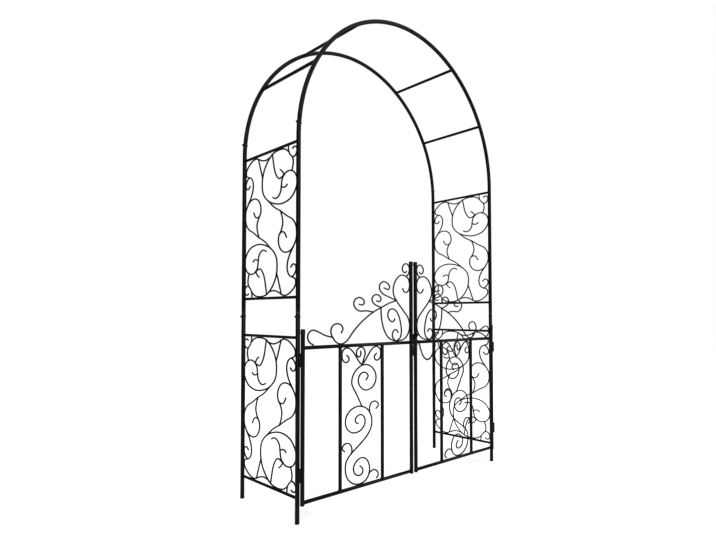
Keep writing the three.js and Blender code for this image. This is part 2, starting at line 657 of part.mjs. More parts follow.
// Fixed half: a knuckle against the post with the pin standing on it
function hingePost() {
  const shoulder = BARREL_RADIUS - BARREL_CHAMFER;
  return turned([
    [0, -BARREL_LENGTH], [shoulder, -BARREL_LENGTH], [BARREL_RADIUS, BARREL_CHAMFER - BARREL_LENGTH],
    [BARREL_RADIUS, 0], [HINGE_PIN_RADIUS, 0], [HINGE_PIN_RADIUS, HINGE_PIN_LENGTH],
    [0, HINGE_PIN_LENGTH],
  ], BAR_SIDES);
}

// Moving half: a blind sleeve against the stile, over the pin
function hingeSleeve() {
  const shoulder = BARREL_RADIUS - BARREL_CHAMFER;
  const bore = HINGE_PIN_RADIUS + CLEARANCE;
  const boreTop = HINGE_PIN_LENGTH + BARREL_GAP;
  return turned([
    [bore, BARREL_GAP], [BARREL_RADIUS, BARREL_GAP], [BARREL_RADIUS, BARREL_LENGTH - BARREL_CHAMFER],
    [shoulder, BARREL_LENGTH], [0, BARREL_LENGTH], [0, boreTop], [bore, boreTop], [bore, BARREL_GAP],
  ], BAR_SIDES);
}

function buildLeaf(arch, sideName, side) {
  const inward = -side;
  const leaf = new THREE.Group();
  leaf.position.set((side * SPAN) / 2 + inward * axisInset, -DEPTH / 2 - axisForward, 0);
  arch.add(leaf);
  const add = (name, solid, material) => addPiece(leaf, `${sideName}_${name}`, solid, material);
  add('hinge_stile', stile(inward, 0, hingeStileTop), paintedSteel());
  add('meeting_stile', stile(inward, leafWidth, meetingStileTop), paintedSteel());
  add('gate_top_rail', leafRail(inward, TOP_RAIL_HEIGHT), paintedSteel());
  add('gate_bottom_rail', leafRail(inward, BOTTOM_RAIL_HEIGHT), paintedSteel());
  add('gate_outer_bar', leafBar(inward, barPlaces.outer), paintedSteel());
  add('gate_inner_bar', leafBar(inward, barPlaces.inner), paintedSteel());
  add('gate_crest_scroll', crestScroll(inward), paintedSteel());
  add('gate_panel_scroll', leafPanelScroll(inward), paintedSteel());
  add('hinge_stile_cap', stileCap(inward, 0, hingeStileTop), blackPlastic());
  add('meeting_stile_cap', stileCap(inward, leafWidth, meetingStileTop), blackPlastic());
  for (const [level, height] of Object.entries(hingeHeights)) {
    const fixed = add(`${level}_hinge_pin`, hingePost(), paintedSteel());
    const moving = add(`${level}_hinge_sleeve`, hingeSleeve(), paintedSteel());
    fixed.position.z = height;
    moving.position.z = height;
  }
}

// Latch, on the centre line between the meeting stiles
const latchY = -DEPTH / 2 - GATE_FORWARD;
const lowerEyeHeight = TOP_RAIL_HEIGHT - LOWER_EYE_BELOW_RAIL;
const upperEyeHeight = lowerEyeHeight + LOWER_EYE_LENGTH + EYE_GAP;
const upperEyeTop = upperEyeHeight + UPPER_EYE_LENGTH;

function latchEye(low, length, play) {
  return upright(0, 0, low, low + length, EYE_RADIUS, LATCH_PIN_RADIUS + play, POST_SIDES);
}

function latchPin() {
  const tip = lowerEyeHeight + LOWER_EYE_LENGTH + LATCH_PIN_CLEAR;
  const crank = upperEyeTop + LATCH_PIN_RADIUS + LATCH_PIN_LIFT + CLEARANCE;
  const rod = upright(0, 0, tip, crank + LATCH_PIN_RADIUS, LATCH_PIN_RADIUS, 0, BAR_SIDES);
  const arm = straight(
    new THREE.Vector3(0, 0, crank), new THREE.Vector3(0, -HANDLE_REACH, crank),
    LATCH_PIN_RADIUS / 2, 0, BAR_SIDES,
  );
  const knob = toSolid(new THREE.SphereGeometry(KNOB_RADIUS, KNOB_SIDES, KNOB_SIDES));
  return joined([rod, arm, knob.translate([0, -HANDLE_REACH, crank])]);
}

function chain() {
  return sweep(new ChainCurve(), CHAIN_RADIUS, 0, BAR_SIDES, CHAIN_STEPS);
}

function buildLatch(arch) {
  const latch = new THREE.Group();
  latch.position.y = latchY;
  arch.add(latch);
  const lowerEye = latchEye(lowerEyeHeight, LOWER_EYE_LENGTH, LOWER_EYE_PLAY);
  const upperEye = latchEye(upperEyeHeight, UPPER_EYE_LENGTH, CLEARANCE);
  addPiece(latch, 'left_latch_eye', lowerEye, paintedSteel());
  addPiece(latch, 'right_latch_eye', upperEye, paintedSteel());
  addPiece(latch, 'latch_pin', latchPin(), platedSteel());
  const links = addPiece(latch, 'latch_chain', chain(), platedSteel());
  const chainFront = BAR_RADIUS + CHAIN_RADIUS + CLEARANCE;
  links.position.set(MEETING_OFFSET + CHAIN_START, -chainFront, TOP_RAIL_HEIGHT);
}

const arch = new THREE.Group();
buildFrame(arch);
buildSidePanels(arch);
buildLeaf(arch, 'left', -1);
buildLeaf(arch, 'right', 1);
buildLatch(arch);

// The origin stands under the middle of everything, from the latch knob to the back posts
const frontReach = DEPTH / 2 + GATE_FORWARD + HANDLE_REACH + KNOB_RADIUS;
const backReach = DEPTH / 2 + POST_RADIUS;
arch.position.y = (frontReach - backReach) / 2;

export default arch;
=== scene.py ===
import json
import math

import bmesh
import bpy
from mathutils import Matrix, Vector


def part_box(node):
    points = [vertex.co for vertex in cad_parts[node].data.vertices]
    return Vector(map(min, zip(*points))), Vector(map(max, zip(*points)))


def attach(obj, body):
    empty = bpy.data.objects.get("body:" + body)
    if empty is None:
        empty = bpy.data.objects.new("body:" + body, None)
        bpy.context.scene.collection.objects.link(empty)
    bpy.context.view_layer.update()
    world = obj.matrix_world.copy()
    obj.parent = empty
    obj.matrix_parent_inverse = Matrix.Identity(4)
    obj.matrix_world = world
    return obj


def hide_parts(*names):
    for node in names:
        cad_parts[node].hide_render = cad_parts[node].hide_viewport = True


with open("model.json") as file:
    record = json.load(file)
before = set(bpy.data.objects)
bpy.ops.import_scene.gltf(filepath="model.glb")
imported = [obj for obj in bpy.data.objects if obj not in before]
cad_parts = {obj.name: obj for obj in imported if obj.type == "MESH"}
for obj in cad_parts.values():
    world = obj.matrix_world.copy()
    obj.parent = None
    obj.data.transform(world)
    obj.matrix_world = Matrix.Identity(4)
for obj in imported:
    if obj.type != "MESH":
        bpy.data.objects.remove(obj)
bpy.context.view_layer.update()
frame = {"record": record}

BODY_OF = {
    node: body
    for body, nodes in frame["record"]["behaviour"]["bodies"].items()
    for node in nodes
}
UP = Vector((0, 0, 1))
ACROSS = Vector((1, 0, 0))
AWAY = Vector((0, 1, 0))

# Frame, in metres, between the centre lines of its tubes
SPAN = 1.2
DEPTH = 0.366
# The gate stands out in front, so the frame's own middle lies behind the middle of the whole
BACK_SHIFT = 0.0155
FRONT_Y = BACK_SHIFT - DEPTH / 2
BACK_Y = BACK_SHIFT + DEPTH / 2
SPRING_HEIGHT = 1.37
HOOP_RADIUS = SPAN / 2
LOWER_JOINT_HEIGHT = 0.736
UPPER_JOINT_RISE = 0.062
UPPER_JOINT_RUN = SPRING_HEIGHT + HOOP_RADIUS * math.asin(UPPER_JOINT_RISE / HOOP_RADIUS)
CROWN_RUN = SPRING_HEIGHT + HOOP_RADIUS * math.pi / 2
POST_RADIUS = 0.008
RUNG_RADIUS = 0.006
SIDE_RAIL_RADIUS = 0.005
PANEL_HEIGHT = 0.56
RUNG_ANGLES = (30, 60)
CLEARANCE = 0.0003

# Each level's height above the ground, and which way up its scrolls are
PANEL_LEVELS = {"lower": (0.088, -1), "upper": (0.792, 1)}

# Bolt through each post joint
BOLT_BELOW_JOINT = 0.014
BOLT_HEAD_RADIUS = 0.0042
BOLT_HEAD_HEIGHT = 0.0018
BOLT_SINK = 0.0012
NUT_RADIUS = 0.0044
NUT_HEIGHT = 0.0034
NUT_SIDES = 6
NUT_DOME_RADIUS = 0.0032
NUT_DOME_HEIGHT = 0.0024
NUT_DOME_SINK = 0.001
NUT_DOME_SIDES = 16
DOME_ANGLES = (0, 25, 50, 75)
HEAD_ANGLES = (0, 25, 50)
SOCKET_RADIUS = 0.0013
SOCKET_FLOOR = 0.0004
SOCKET_LIP = 0.0001

# Gate leaves
GATE_INSET = 0.013
GATE_FORWARD = 0.012
MEETING_OFFSET = 0.014
LEAF_Y = FRONT_Y - GATE_FORWARD
LEAF_WIDTH = SPAN / 2 - GATE_INSET - MEETING_OFFSET
STILE_RADIUS = 0.0075
BAR_RADIUS = 0.0065
TUBE_WALL = 0.0012
BOTTOM_RAIL_HEIGHT = 0.072
TOP_RAIL_HEIGHT = 0.612
MEETING_STILE_RISE = 0.34
BAR_INSET_SHARE = 0.305
BAR_PLACES = {"outer": LEAF_WIDTH * BAR_INSET_SHARE, "inner": LEAF_WIDTH * (1 - BAR_INSET_SHARE)}
RAIL_END_INSET = 0.003

# Stile caps
CAP_RADIUS = 0.0088
# Pairs of how far in from the cap's radius, and how far up
CAP_MOUTH = ((0.0003, 0), (0, 0.0004), (0, 0.0012), (0.0004, 0.0017))
CAP_CROWN_ROUND = 0.0026
CAP_CROWN_ANGLES = (0, 20, 40, 60, 80)
CAP_THICKNESS = 0.0035

# Hinges
BARREL_RADIUS = 0.005
BARREL_GAP = 0.0006
BARREL_EDGE = 0.0004
# Pairs of how far in from the barrel's radius, and how far along
BARREL_END = ((0.0014, 0), (0.0004, 0.0004), (0, 0.0014))
HINGE_PIN_RADIUS = 0.0025
HINGE_PIN_ROUND = 0.0008

# Latch
EYE_RADIUS = 0.0062
EYE_RIM = 0.0006
LATCH_PIN_RADIUS = 0.003
LOWER_EYE_PLAY = 0.0019
LATCH_PIN_TIP_RADIUS = 0.0012
LATCH_PIN_TIP_LENGTH = 0.0024
# Pairs of how far in from the pin's radius, and how far over the handle
LATCH_PIN_HEAD = ((0, 0.0018), (0.0005, 0.0028), (0.0016, 0.0034))
HANDLE_RADIUS = 0.00185
HANDLE_SIDES = 16
HANDLE_REACH = 0.02
COLLAR_PROFILE = ((0.0028, 0), (0.003, 0.0006), (0.003, 0.0022))
COLLAR_SHOWS = 0.001
KNOB_RADIUS = 0.007
KNOB_STEPS = 14
KNOB_END_SHARE = 0.3

# Chain
CHAIN_SPAN = 0.112
CHAIN_WIRE_RADIUS = 0.00115
CHAIN_PITCH = 0.0086
CHAIN_FIRST_DROP = 0.0045
CHAIN_SAMPLES = 600
LINK_WIDTH = 0.0056
LINK_OVERLAP = 4.2 * CHAIN_WIRE_RADIUS
LINK_BEND_STEPS = 7
LINK_SIDES = 8
RING_DROP = 0.0009
RING_PLAY = 0.0011
RING_STEPS = 28
CURVE_TRIES = 40
DEEPEST_CURVE_SHARE = 0.05
FLATTEST_CURVE_SHARE = 5

# Scroll wire
WIRE_RADIUS = 0.00275
WIRE_SIDES = 10
WIRE_STEPS = 6
WELD_DEPTH = 0.0007

# Welds. Ripples are counted along the bead, and their shares are of its radius.
BEAD_RADIUS = 0.0013
BEAD_SIDES = 8
BEAD_INSET = 0.003
SADDLE_STEPS = 40
SADDLE_RIPPLES = 9
SADDLE_RIPPLE_SHARE = 0.14
SADDLE_SWELLS = 5
SADDLE_SWELL_SHARE = 0.08
SADDLE_SWELL_START = 1
SEAM_STEPS = 14
SEAM_END_SHARE = 0.05
SEAM_BLUNTNESS = 6
SEAM_RIPPLES = 5
SEAM_RIPPLE_SHARE = 0.12
SPOT_STEPS = 7
SPOT_END_SHARE = 0.15
SPOT_RIPPLES = 3
SPOT_TWISTS = 2
SPOT_RIPPLE_SHARE = 0.07
BARREL_BEADS = {"sink": 0.0002, "spread": 0.0022, "radius": 0.0012}
EYE_BEADS = {"sink": 0.0001, "spread": 0.0026, "radius": 0.0011}
WIRE_ON_BAR_SPOT = {"length": 0.006, "width": 0.0016, "height": 0.0024}
WIRE_ON_WIRE_SPOT = {"length": 0.0044, "width": 0.0036, "height": WIRE_RADIUS + 0.0004}

# Smoothness
TUBE_SIDES = 24
UPPER_POST_STEPS = 28
HOOP_STEPS = 56
EDGE_ROUND = 0.0005
AXIS_RADIUS = 0.0001
SHARP_ANGLE = 50
NEARLY_ALONG = 0.9

# Looks of the powder coat. Noise is in features per metre, and depths are in metres.
BLACK = (0, 0, 0)
WHITE = (1, 1, 1)
COAT_DARK = (0.002, 0.002, 0.0024)
COAT_LIGHT = (0.0042, 0.0042, 0.005)
COAT_WORN = (0.016, 0.016, 0.017)
COAT_ROUGHNESS = {"low": 0.24, "high": 0.34}
COAT_SPECULAR = 0.25
PEEL_NOISE = {"scale": 520, "detail": 2}
PATCH_NOISE = {"scale": 34, "detail": 5}
WEAR_NOISE = {"scale": 150, "detail": 8}
WEAR_RANGE = {"start": 0.66, "end": 0.74}
PATCH_BUMP = {"depth": 0.0004, "strength": 0.25}
PEEL_BUMP = {"depth": 0.00012, "strength": 0.5}

# Looks of the caps
CAP_DARK = (0.0035, 0.0035, 0.0038)
CAP_LIGHT = (0.0075, 0.0075, 0.008)
CAP_ROUGHNESS = {"low": 0.5, "high": 0.66}
CAP_SPECULAR = 0.3
GRAIN_NOISE = {"scale": 1400, "detail": 3}
CLOUD_NOISE = {"scale": 90, "detail": 4}
GRAIN_BUMP = {"depth": 0.00008, "strength": 0.6}

# Looks of the latch pin and chain
PLATE_DARK = (0.009, 0.009, 0.0096)
PLATE_WORN = (0.035, 0.035, 0.037)
PLATE_ROUGHNESS = {"low": 0.28, "high": 0.42}
LINE_NOISE = {"scale": 900, "detail": 2, "stretch": (1, 1, 0.06)}
SPOT_NOISE = {"scale": 260, "detail": 6}
SPOT_RANGE = {"start": 0.52, "end": 0.76}
LINE_BUMP = {"depth": 0.00006, "strength": 0.4}

# Part of a noise's range over which it fades from its low value to its high one
COLOR_START = 0.35
COLOR_END = 0.65
SPREAD_START = 0.3
SPREAD_END = 0.7

# Floor
FLOOR_REACH = 14
FLOOR_DARK = (0.93, 0.93, 0.93)
FLOOR_LIGHT = (0.95, 0.95, 0.95)
FLOOR_NOISE = {"scale": 6, "detail": 3}
FLOOR_ROUGHNESS = 0.9
FLOOR_SPECULAR = 0.1

# Camera, in pixels of the picture, metres from the frame's own middle, and degrees
PICTURE_WIDTH = 716
PICTURE_HEIGHT = 540
FOCAL_PIXELS = 540.05
AXIS_ROW = 295.9
SENSOR_WIDTH = 36
CAMERA_LEFT = 1.743
CAMERA_IN_FRONT = 1.7281
CAMERA_HEIGHT = 0.7292
# Level at 90
CAMERA_PITCH = 92
CAMERA_HEADING = -42.836

# Light: angles in degrees, power in watts, and the sun's strength in watts per square metre
GLOW_STRENGTH = 0.08
SUN_STRENGTH = 3.3
SUN_WIDTH = 130
SUN_TILT = (12, 8)
LIGHT_TARGET = (0, 0, 0.9)
KEY_LIGHT = {"place": (-3.2, -3.6, 2.6), "size": 3.6, "power": 130}
FILL_LIGHT = {"place": (3.0, -2.6, 2.2), "size": 3.2, "power": 60}
VIEW_GAMMA = 0.7

# Crest scrolls: across from the meeting stile to the hinge stile, up from the top rail
crest_shares = [
    # heart beside the meeting stile
    [(0.08, 0.665), (0.058, 0.62), (0.03, 0.613), (0.004, 0.66), (0, 0.735), (0.02, 0.8),
     (0.056, 0.825), (0.1, 0.825), (0.15, 0.765), (0.179, 0.665), (0.176, 0.58), (0.146, 0.505),
     (0.069, 0.377), (0.02, 0.295), (0, 0.206), (0.012, 0.1), (0.06, 0.023), (0.14, 0)],
    # small curl at the top of the stile
    [(0.037, 0.815), (0.012, 0.85), (0, 0.905), (0.01, 0.958), (0.037, 0.979), (0.065, 0.961),
     (0.08, 0.913), (0.069, 0.874), (0.049, 0.862), (0.03, 0.886)],
    # long sweep down to the rail
    [(0.146, 0.505), (0.23, 0.467), (0.306, 0.416), (0.39, 0.359), (0.497, 0.251), (0.578, 0.14),
     (0.636, 0.038), (0.679, 0), (0.726, 0.008), (0.765, 0.065), (0.785, 0.14), (0.769, 0.203),
     (0.73, 0.227), (0.69, 0.206), (0.678, 0.164), (0.695, 0.119)],
    # curl beside the hinge stile
    [(0.769, 0.075), (0.836, 0.101), (0.89, 0.14), (0.935, 0.161), (0.967, 0.137), (0.979, 0.086),
     (0.965, 0.032), (0.931, 0)],
    # three curls above the sweep
    [(0.146, 0.505), (0.221, 0.545), (0.292, 0.587), (0.324, 0.64), (0.319, 0.7), (0.283, 0.733),
     (0.242, 0.715), (0.219, 0.673), (0.23, 0.64), (0.28, 0.658)],
    [(0.306, 0.416), (0.372, 0.452), (0.401, 0.5), (0.39, 0.55), (0.358, 0.571), (0.324, 0.556),
     (0.31, 0.52), (0.324, 0.488), (0.358, 0.497)],
    [(0.387, 0.36), (0.453, 0.374), (0.529, 0.374), (0.569, 0.416), (0.578, 0.467), (0.56, 0.511),
     (0.519, 0.53), (0.483, 0.5), (0.479, 0.461), (0.503, 0.443), (0.529, 0.452)],
    # oval under the sweep, with the curl inside it
    [(0.31, 0.412), (0.308, 0.326), (0.296, 0.221), (0.269, 0.116), (0.23, 0.044), (0.176, 0.008),
     (0.14, 0)],
    [(0.164, 0.284), (0.171, 0.254), (0.198, 0.242), (0.226, 0.275), (0.239, 0.326), (0.226, 0.377),
     (0.194, 0.401), (0.155, 0.38), (0.123, 0.32), (0.101, 0.221), (0.092, 0.116), (0.105, 0.044),
     (0.146, 0)],
    [(0.126, 0.104), (0.148, 0.14), (0.173, 0.134), (0.19, 0.092), (0.183, 0.038), (0.15, 0)],
]

# Leaf panel scrolls: across from the hinge side at -1 to the meeting side at 1, up from the rail
top_curl_shares = [
    (-0.78, 0.949), (-0.66, 0.928), (-0.68, 0.905), (-0.81, 0.895), (-0.96, 0.913), (-1, 0.949),
    (-0.96, 0.98), (-0.78, 1), (-0.56, 0.987), (-0.35, 0.945), (-0.16, 0.897), (0, 0.869),
]
leaf_panel_shares = [
    top_curl_shares,
    [(-across, up) for across, up in top_curl_shares],
    # loop between the top curls
    [(-0.07, 0.974), (-0.06, 0.945), (-0.14, 0.928), (-0.255, 0.94), (-0.275, 0.97), (-0.16, 0.995),
     (0, 1), (0.13, 0.98), (0.16, 0.95), (0.1, 0.913), (0, 0.869)],
    # upper spiral, then the diagonal under it
    [(0.2, 0.752), (0.32, 0.783), (0.21, 0.808), (0, 0.81), (-0.16, 0.781), (-0.18, 0.741),
     (-0.04, 0.7), (0.16, 0.681), (0.39, 0.683), (0.61, 0.706), (0.735, 0.75), (0.705, 0.802),
     (0.53, 0.844), (0.275, 0.867), (0, 0.865), (-0.255, 0.84), (-0.45, 0.798), (-0.52, 0.745),
     (-0.47, 0.716), (-0.255, 0.649), (0, 0.562)],
    # long S: middle spiral, down across the panel, round the bottom spiral
    [(-0.18, 0.441), (-0.31, 0.452), (-0.33, 0.479), (-0.18, 0.502), (0, 0.5), (0.14, 0.473),
     (0.15, 0.435), (0, 0.397), (-0.225, 0.38), (-0.495, 0.383), (-0.735, 0.414), (-0.83, 0.462),
     (-0.755, 0.515), (-0.495, 0.555), (-0.21, 0.567), (0.03, 0.561), (0.27, 0.538), (0.45, 0.496),
     (0.515, 0.443), (0.46, 0.391), (0.255, 0.34), (-0.14, 0.284), (-0.54, 0.234), (-0.785, 0.185),
     (-0.83, 0.124), (-0.735, 0.063), (-0.45, 0.015), (-0.11, 0), (0.2, 0.017), (0.37, 0.06),
     (0.38, 0.114), (0.23, 0.168), (-0.04, 0.187), (-0.29, 0.168), (-0.43, 0.127), (-0.37, 0.085),
     (-0.18, 0.063), (0, 0.07), (0.04, 0.1), (-0.11, 0.133)],
    # side curls
    [(0.4, 0.508), (0.4, 0.55), (0.475, 0.577), (0.64, 0.588), (0.8, 0.578), (0.87, 0.554),
     (0.725, 0.529)],
    [(-0.52, 0.236), (-0.515, 0.271), (-0.6, 0.301), (-0.755, 0.315), (-0.92, 0.305),
     (-0.985, 0.282), (-0.86, 0.257)],
    [(0.36, 0.057), (0.465, 0.07), (0.63, 0.076), (0.785, 0.06), (0.86, 0.032), (0.755, 0.007)],
]

# Half of a side panel: away from the gate at 1, up at 1. The other half is this one turned half round.
side_panel_half_shares = [
    # ring at the foot of the panel, running up into the spiral
    [(0.71, -0.93), (0.56, -0.985), (0.32, -1), (0.09, -0.97), (-0.12, -0.87), (-0.26, -0.735),
     (-0.3, -0.6), (-0.26, -0.46), (-0.05, -0.335), (0.31, -0.26), (0.58, -0.258), (0.84, -0.315),
     (1, -0.445), (1, -0.55), (0.9, -0.635), (0.74, -0.67), (0.58, -0.65), (0.48, -0.59),
     (0.45, -0.515), (0.42, -0.42), (0.33, -0.36), (0.22, -0.345), (0.12, -0.37)],
    # stem from the spiral down to the rail, and the small curl beside it
    [(0.83, -0.66), (0.875, -0.755), (0.85, -0.835), (0.76, -0.885), (0.71, -0.94), (0.7, -1)],
    [(0.85, -0.835), (0.94, -0.845), (1, -0.89), (0.99, -0.95), (0.91, -0.97), (0.84, -0.95)],
    # stem inside the ring, ending in a short tick
    [(0.1, -0.972), (0.15, -0.83), (0.2, -0.725), (0.28, -0.645), (0.36, -0.605), (0.46, -0.615),
     (0.56, -0.645)],
    [(0.55, -0.635), (0.48, -0.69), (0.4, -0.725)],
    [(0.45, -0.485), (0.54, -0.465), (0.61, -0.47), (0.67, -0.495)],
    # long S up the outer post
    [(-0.05, -0.335), (0.19, -0.225), (0.42, -0.155), (0.67, -0.065), (0.85, -0.01), (0.96, 0.065),
     (1, 0.155), (0.985, 0.265), (0.88, 0.365), (0.77, 0.45), (0.69, 0.55), (0.675, 0.645),
     (0.73, 0.72), (0.84, 0.755), (0.94, 0.715), (0.99, 0.655), (0.955, 0.6), (0.875, 0.59),
     (0.8, 0.63)],
    # bow from the top rail to the S, and the two strokes beside it
    [(0.55, 1), (0.7, 0.985), (0.85, 0.935), (0.97, 0.86), (0.96, 0.79), (0.84, 0.755)],
    [(-0.03, 0.945), (0.13, 0.925), (0.28, 0.935), (0.43, 0.97), (0.55, 1)],
    [(0.46, 0.978), (0.41, 0.89), (0.35, 0.79), (0.285, 0.69)],
    # curl in the belly of the S, and the bow under it
    [(0.88, 0.365), (0.78, 0.405), (0.62, 0.42), (0.47, 0.39), (0.375, 0.32), (0.345, 0.24),
     (0.38, 0.165), (0.47, 0.135), (0.565, 0.15), (0.65, 0.225)],
    [(0.39, 0.16), (0.46, 0.1), (0.505, 0.02), (0.48, -0.07), (0.42, -0.155)],
]
side_panel_shares = side_panel_half_shares + [
    [(-across, -up) for across, up in stroke] for stroke in side_panel_half_shares
]


# Materials

class Surface:
    """A material whose nodes work from the piece's own coordinates."""

    def __init__(self, name):
        self.material = bpy.data.materials.new(name)
        self.material.use_nodes = True
        self.nodes = self.material.node_tree.nodes
        self.links = self.material.node_tree.links
        self.shader = self.nodes["Principled BSDF"]

    def feed(self, socket, output):
        self.links.new(output, self.shader.inputs[socket])

    def hold(self, socket, value):
        self.shader.inputs[socket].default_value = value

    def noise(self, scale, detail, stretch=(1, 1, 1)):
        place = self.nodes.new("ShaderNodeTexCoord")
        mapping = self.nodes.new("ShaderNodeMapping")
        mapping.inputs["Scale"].default_value = stretch
        texture = self.nodes.new("ShaderNodeTexNoise")
        texture.inputs["Scale"].default_value = scale
        texture.inputs["Detail"].default_value = detail
        self.links.new(place.outputs["Object"], mapping.inputs["Vector"])
        self.links.new(mapping.outputs["Vector"], texture.inputs["Vector"])
        return texture.outputs["Fac"]

    def ramp(self, factor, low, high, start=COLOR_START, end=COLOR_END):
        node = self.nodes.new("ShaderNodeValToRGB")
        node.color_ramp.elements[0].position = start
        node.color_ramp.elements[1].position = end
        node.color_ramp.elements[0].color = (*low, 1)
        node.color_ramp.elements[1].color = (*high, 1)
        self.links.new(factor, node.inputs["Fac"])
        return node.outputs["Color"]

    def spread(self, factor, low, high):
        node = self.nodes.new("ShaderNodeMapRange")
        node.inputs["From Min"].default_value = SPREAD_START
        node.inputs["From Max"].default_value = SPREAD_END
        node.inputs["To Min"].default_value = low
        node.inputs["To Max"].default_value = high
        self.links.new(factor, node.inputs["Value"])
        return node.outputs["Result"]

    def bump(self, factor, depth, strength, under=None):
        node = self.nodes.new("ShaderNodeBump")
        node.inputs["Distance"].default_value = depth
        node.inputs["Strength"].default_value = strength
        self.links.new(factor, node.inputs["Height"])
        if under is not None:
            self.links.new(under, node.inputs["Normal"])
        return node.outputs["Normal"]


def powder_coat():
    """Black powder coat: faint orange peel, patchy sheen and a little chalky wear."""
    coat = Surface("powder_coat")
    peel = coat.noise(**PEEL_NOISE)
    patches = coat.noise(**PATCH_NOISE)
    wear = coat.noise(**WEAR_NOISE)
    base = coat.ramp(patches, COAT_DARK, COAT_LIGHT)
    rubbed = coat.ramp(wear, BLACK, WHITE, **WEAR_RANGE)
    mix = coat.nodes.new("ShaderNodeMix")
    mix.data_type = "RGBA"
    mix.inputs["B"].default_value = (*COAT_WORN, 1)
    coat.links.new(rubbed, mix.inputs["Factor"])
    coat.links.new(base, mix.inputs["A"])
    coat.feed("Base Color", mix.outputs["Result"])
    coat.feed("Roughness", coat.spread(patches, **COAT_ROUGHNESS))
    coarse = coat.bump(patches, **PATCH_BUMP)
    coat.feed("Normal", coat.bump(peel, **PEEL_BUMP, under=coarse))
    coat.hold("Specular IOR Level", COAT_SPECULAR)
    return coat.material


def cap_plastic():
    """Moulded black plastic with a fine spark-eroded grain."""
    plastic = Surface("cap_plastic")
    grain = plastic.noise(**GRAIN_NOISE)
    cloud = plastic.noise(**CLOUD_NOISE)
    plastic.feed("Base Color", plastic.ramp(cloud, CAP_DARK, CAP_LIGHT))
    plastic.feed("Roughness", plastic.spread(grain, **CAP_ROUGHNESS))
    plastic.feed("Normal", plastic.bump(grain, **GRAIN_BUMP))
    plastic.hold("Specular IOR Level", CAP_SPECULAR)
    return plastic.material


def plated_steel():
    """Black zinc plate: dark metal with fine drawn lines and worn, brighter spots."""
    plate = Surface("plated_steel")
    lines = plate.noise(**LINE_NOISE)
    spots = plate.noise(**SPOT_NOISE)
    plate.feed("Base Color", plate.ramp(spots, PLATE_DARK, PLATE_WORN, **SPOT_RANGE))
    plate.hold("Metallic", 1)
    plate.feed("Roughness", plate.spread(lines, **PLATE_ROUGHNESS))
    plate.feed("Normal", plate.bump(lines, **LINE_BUMP))
    return plate.material


MATERIALS = {
    "painted_steel": powder_coat(),
    "cap_plastic": cap_plastic(),
    "plated_steel": plated_steel(),
}


# Mesh building

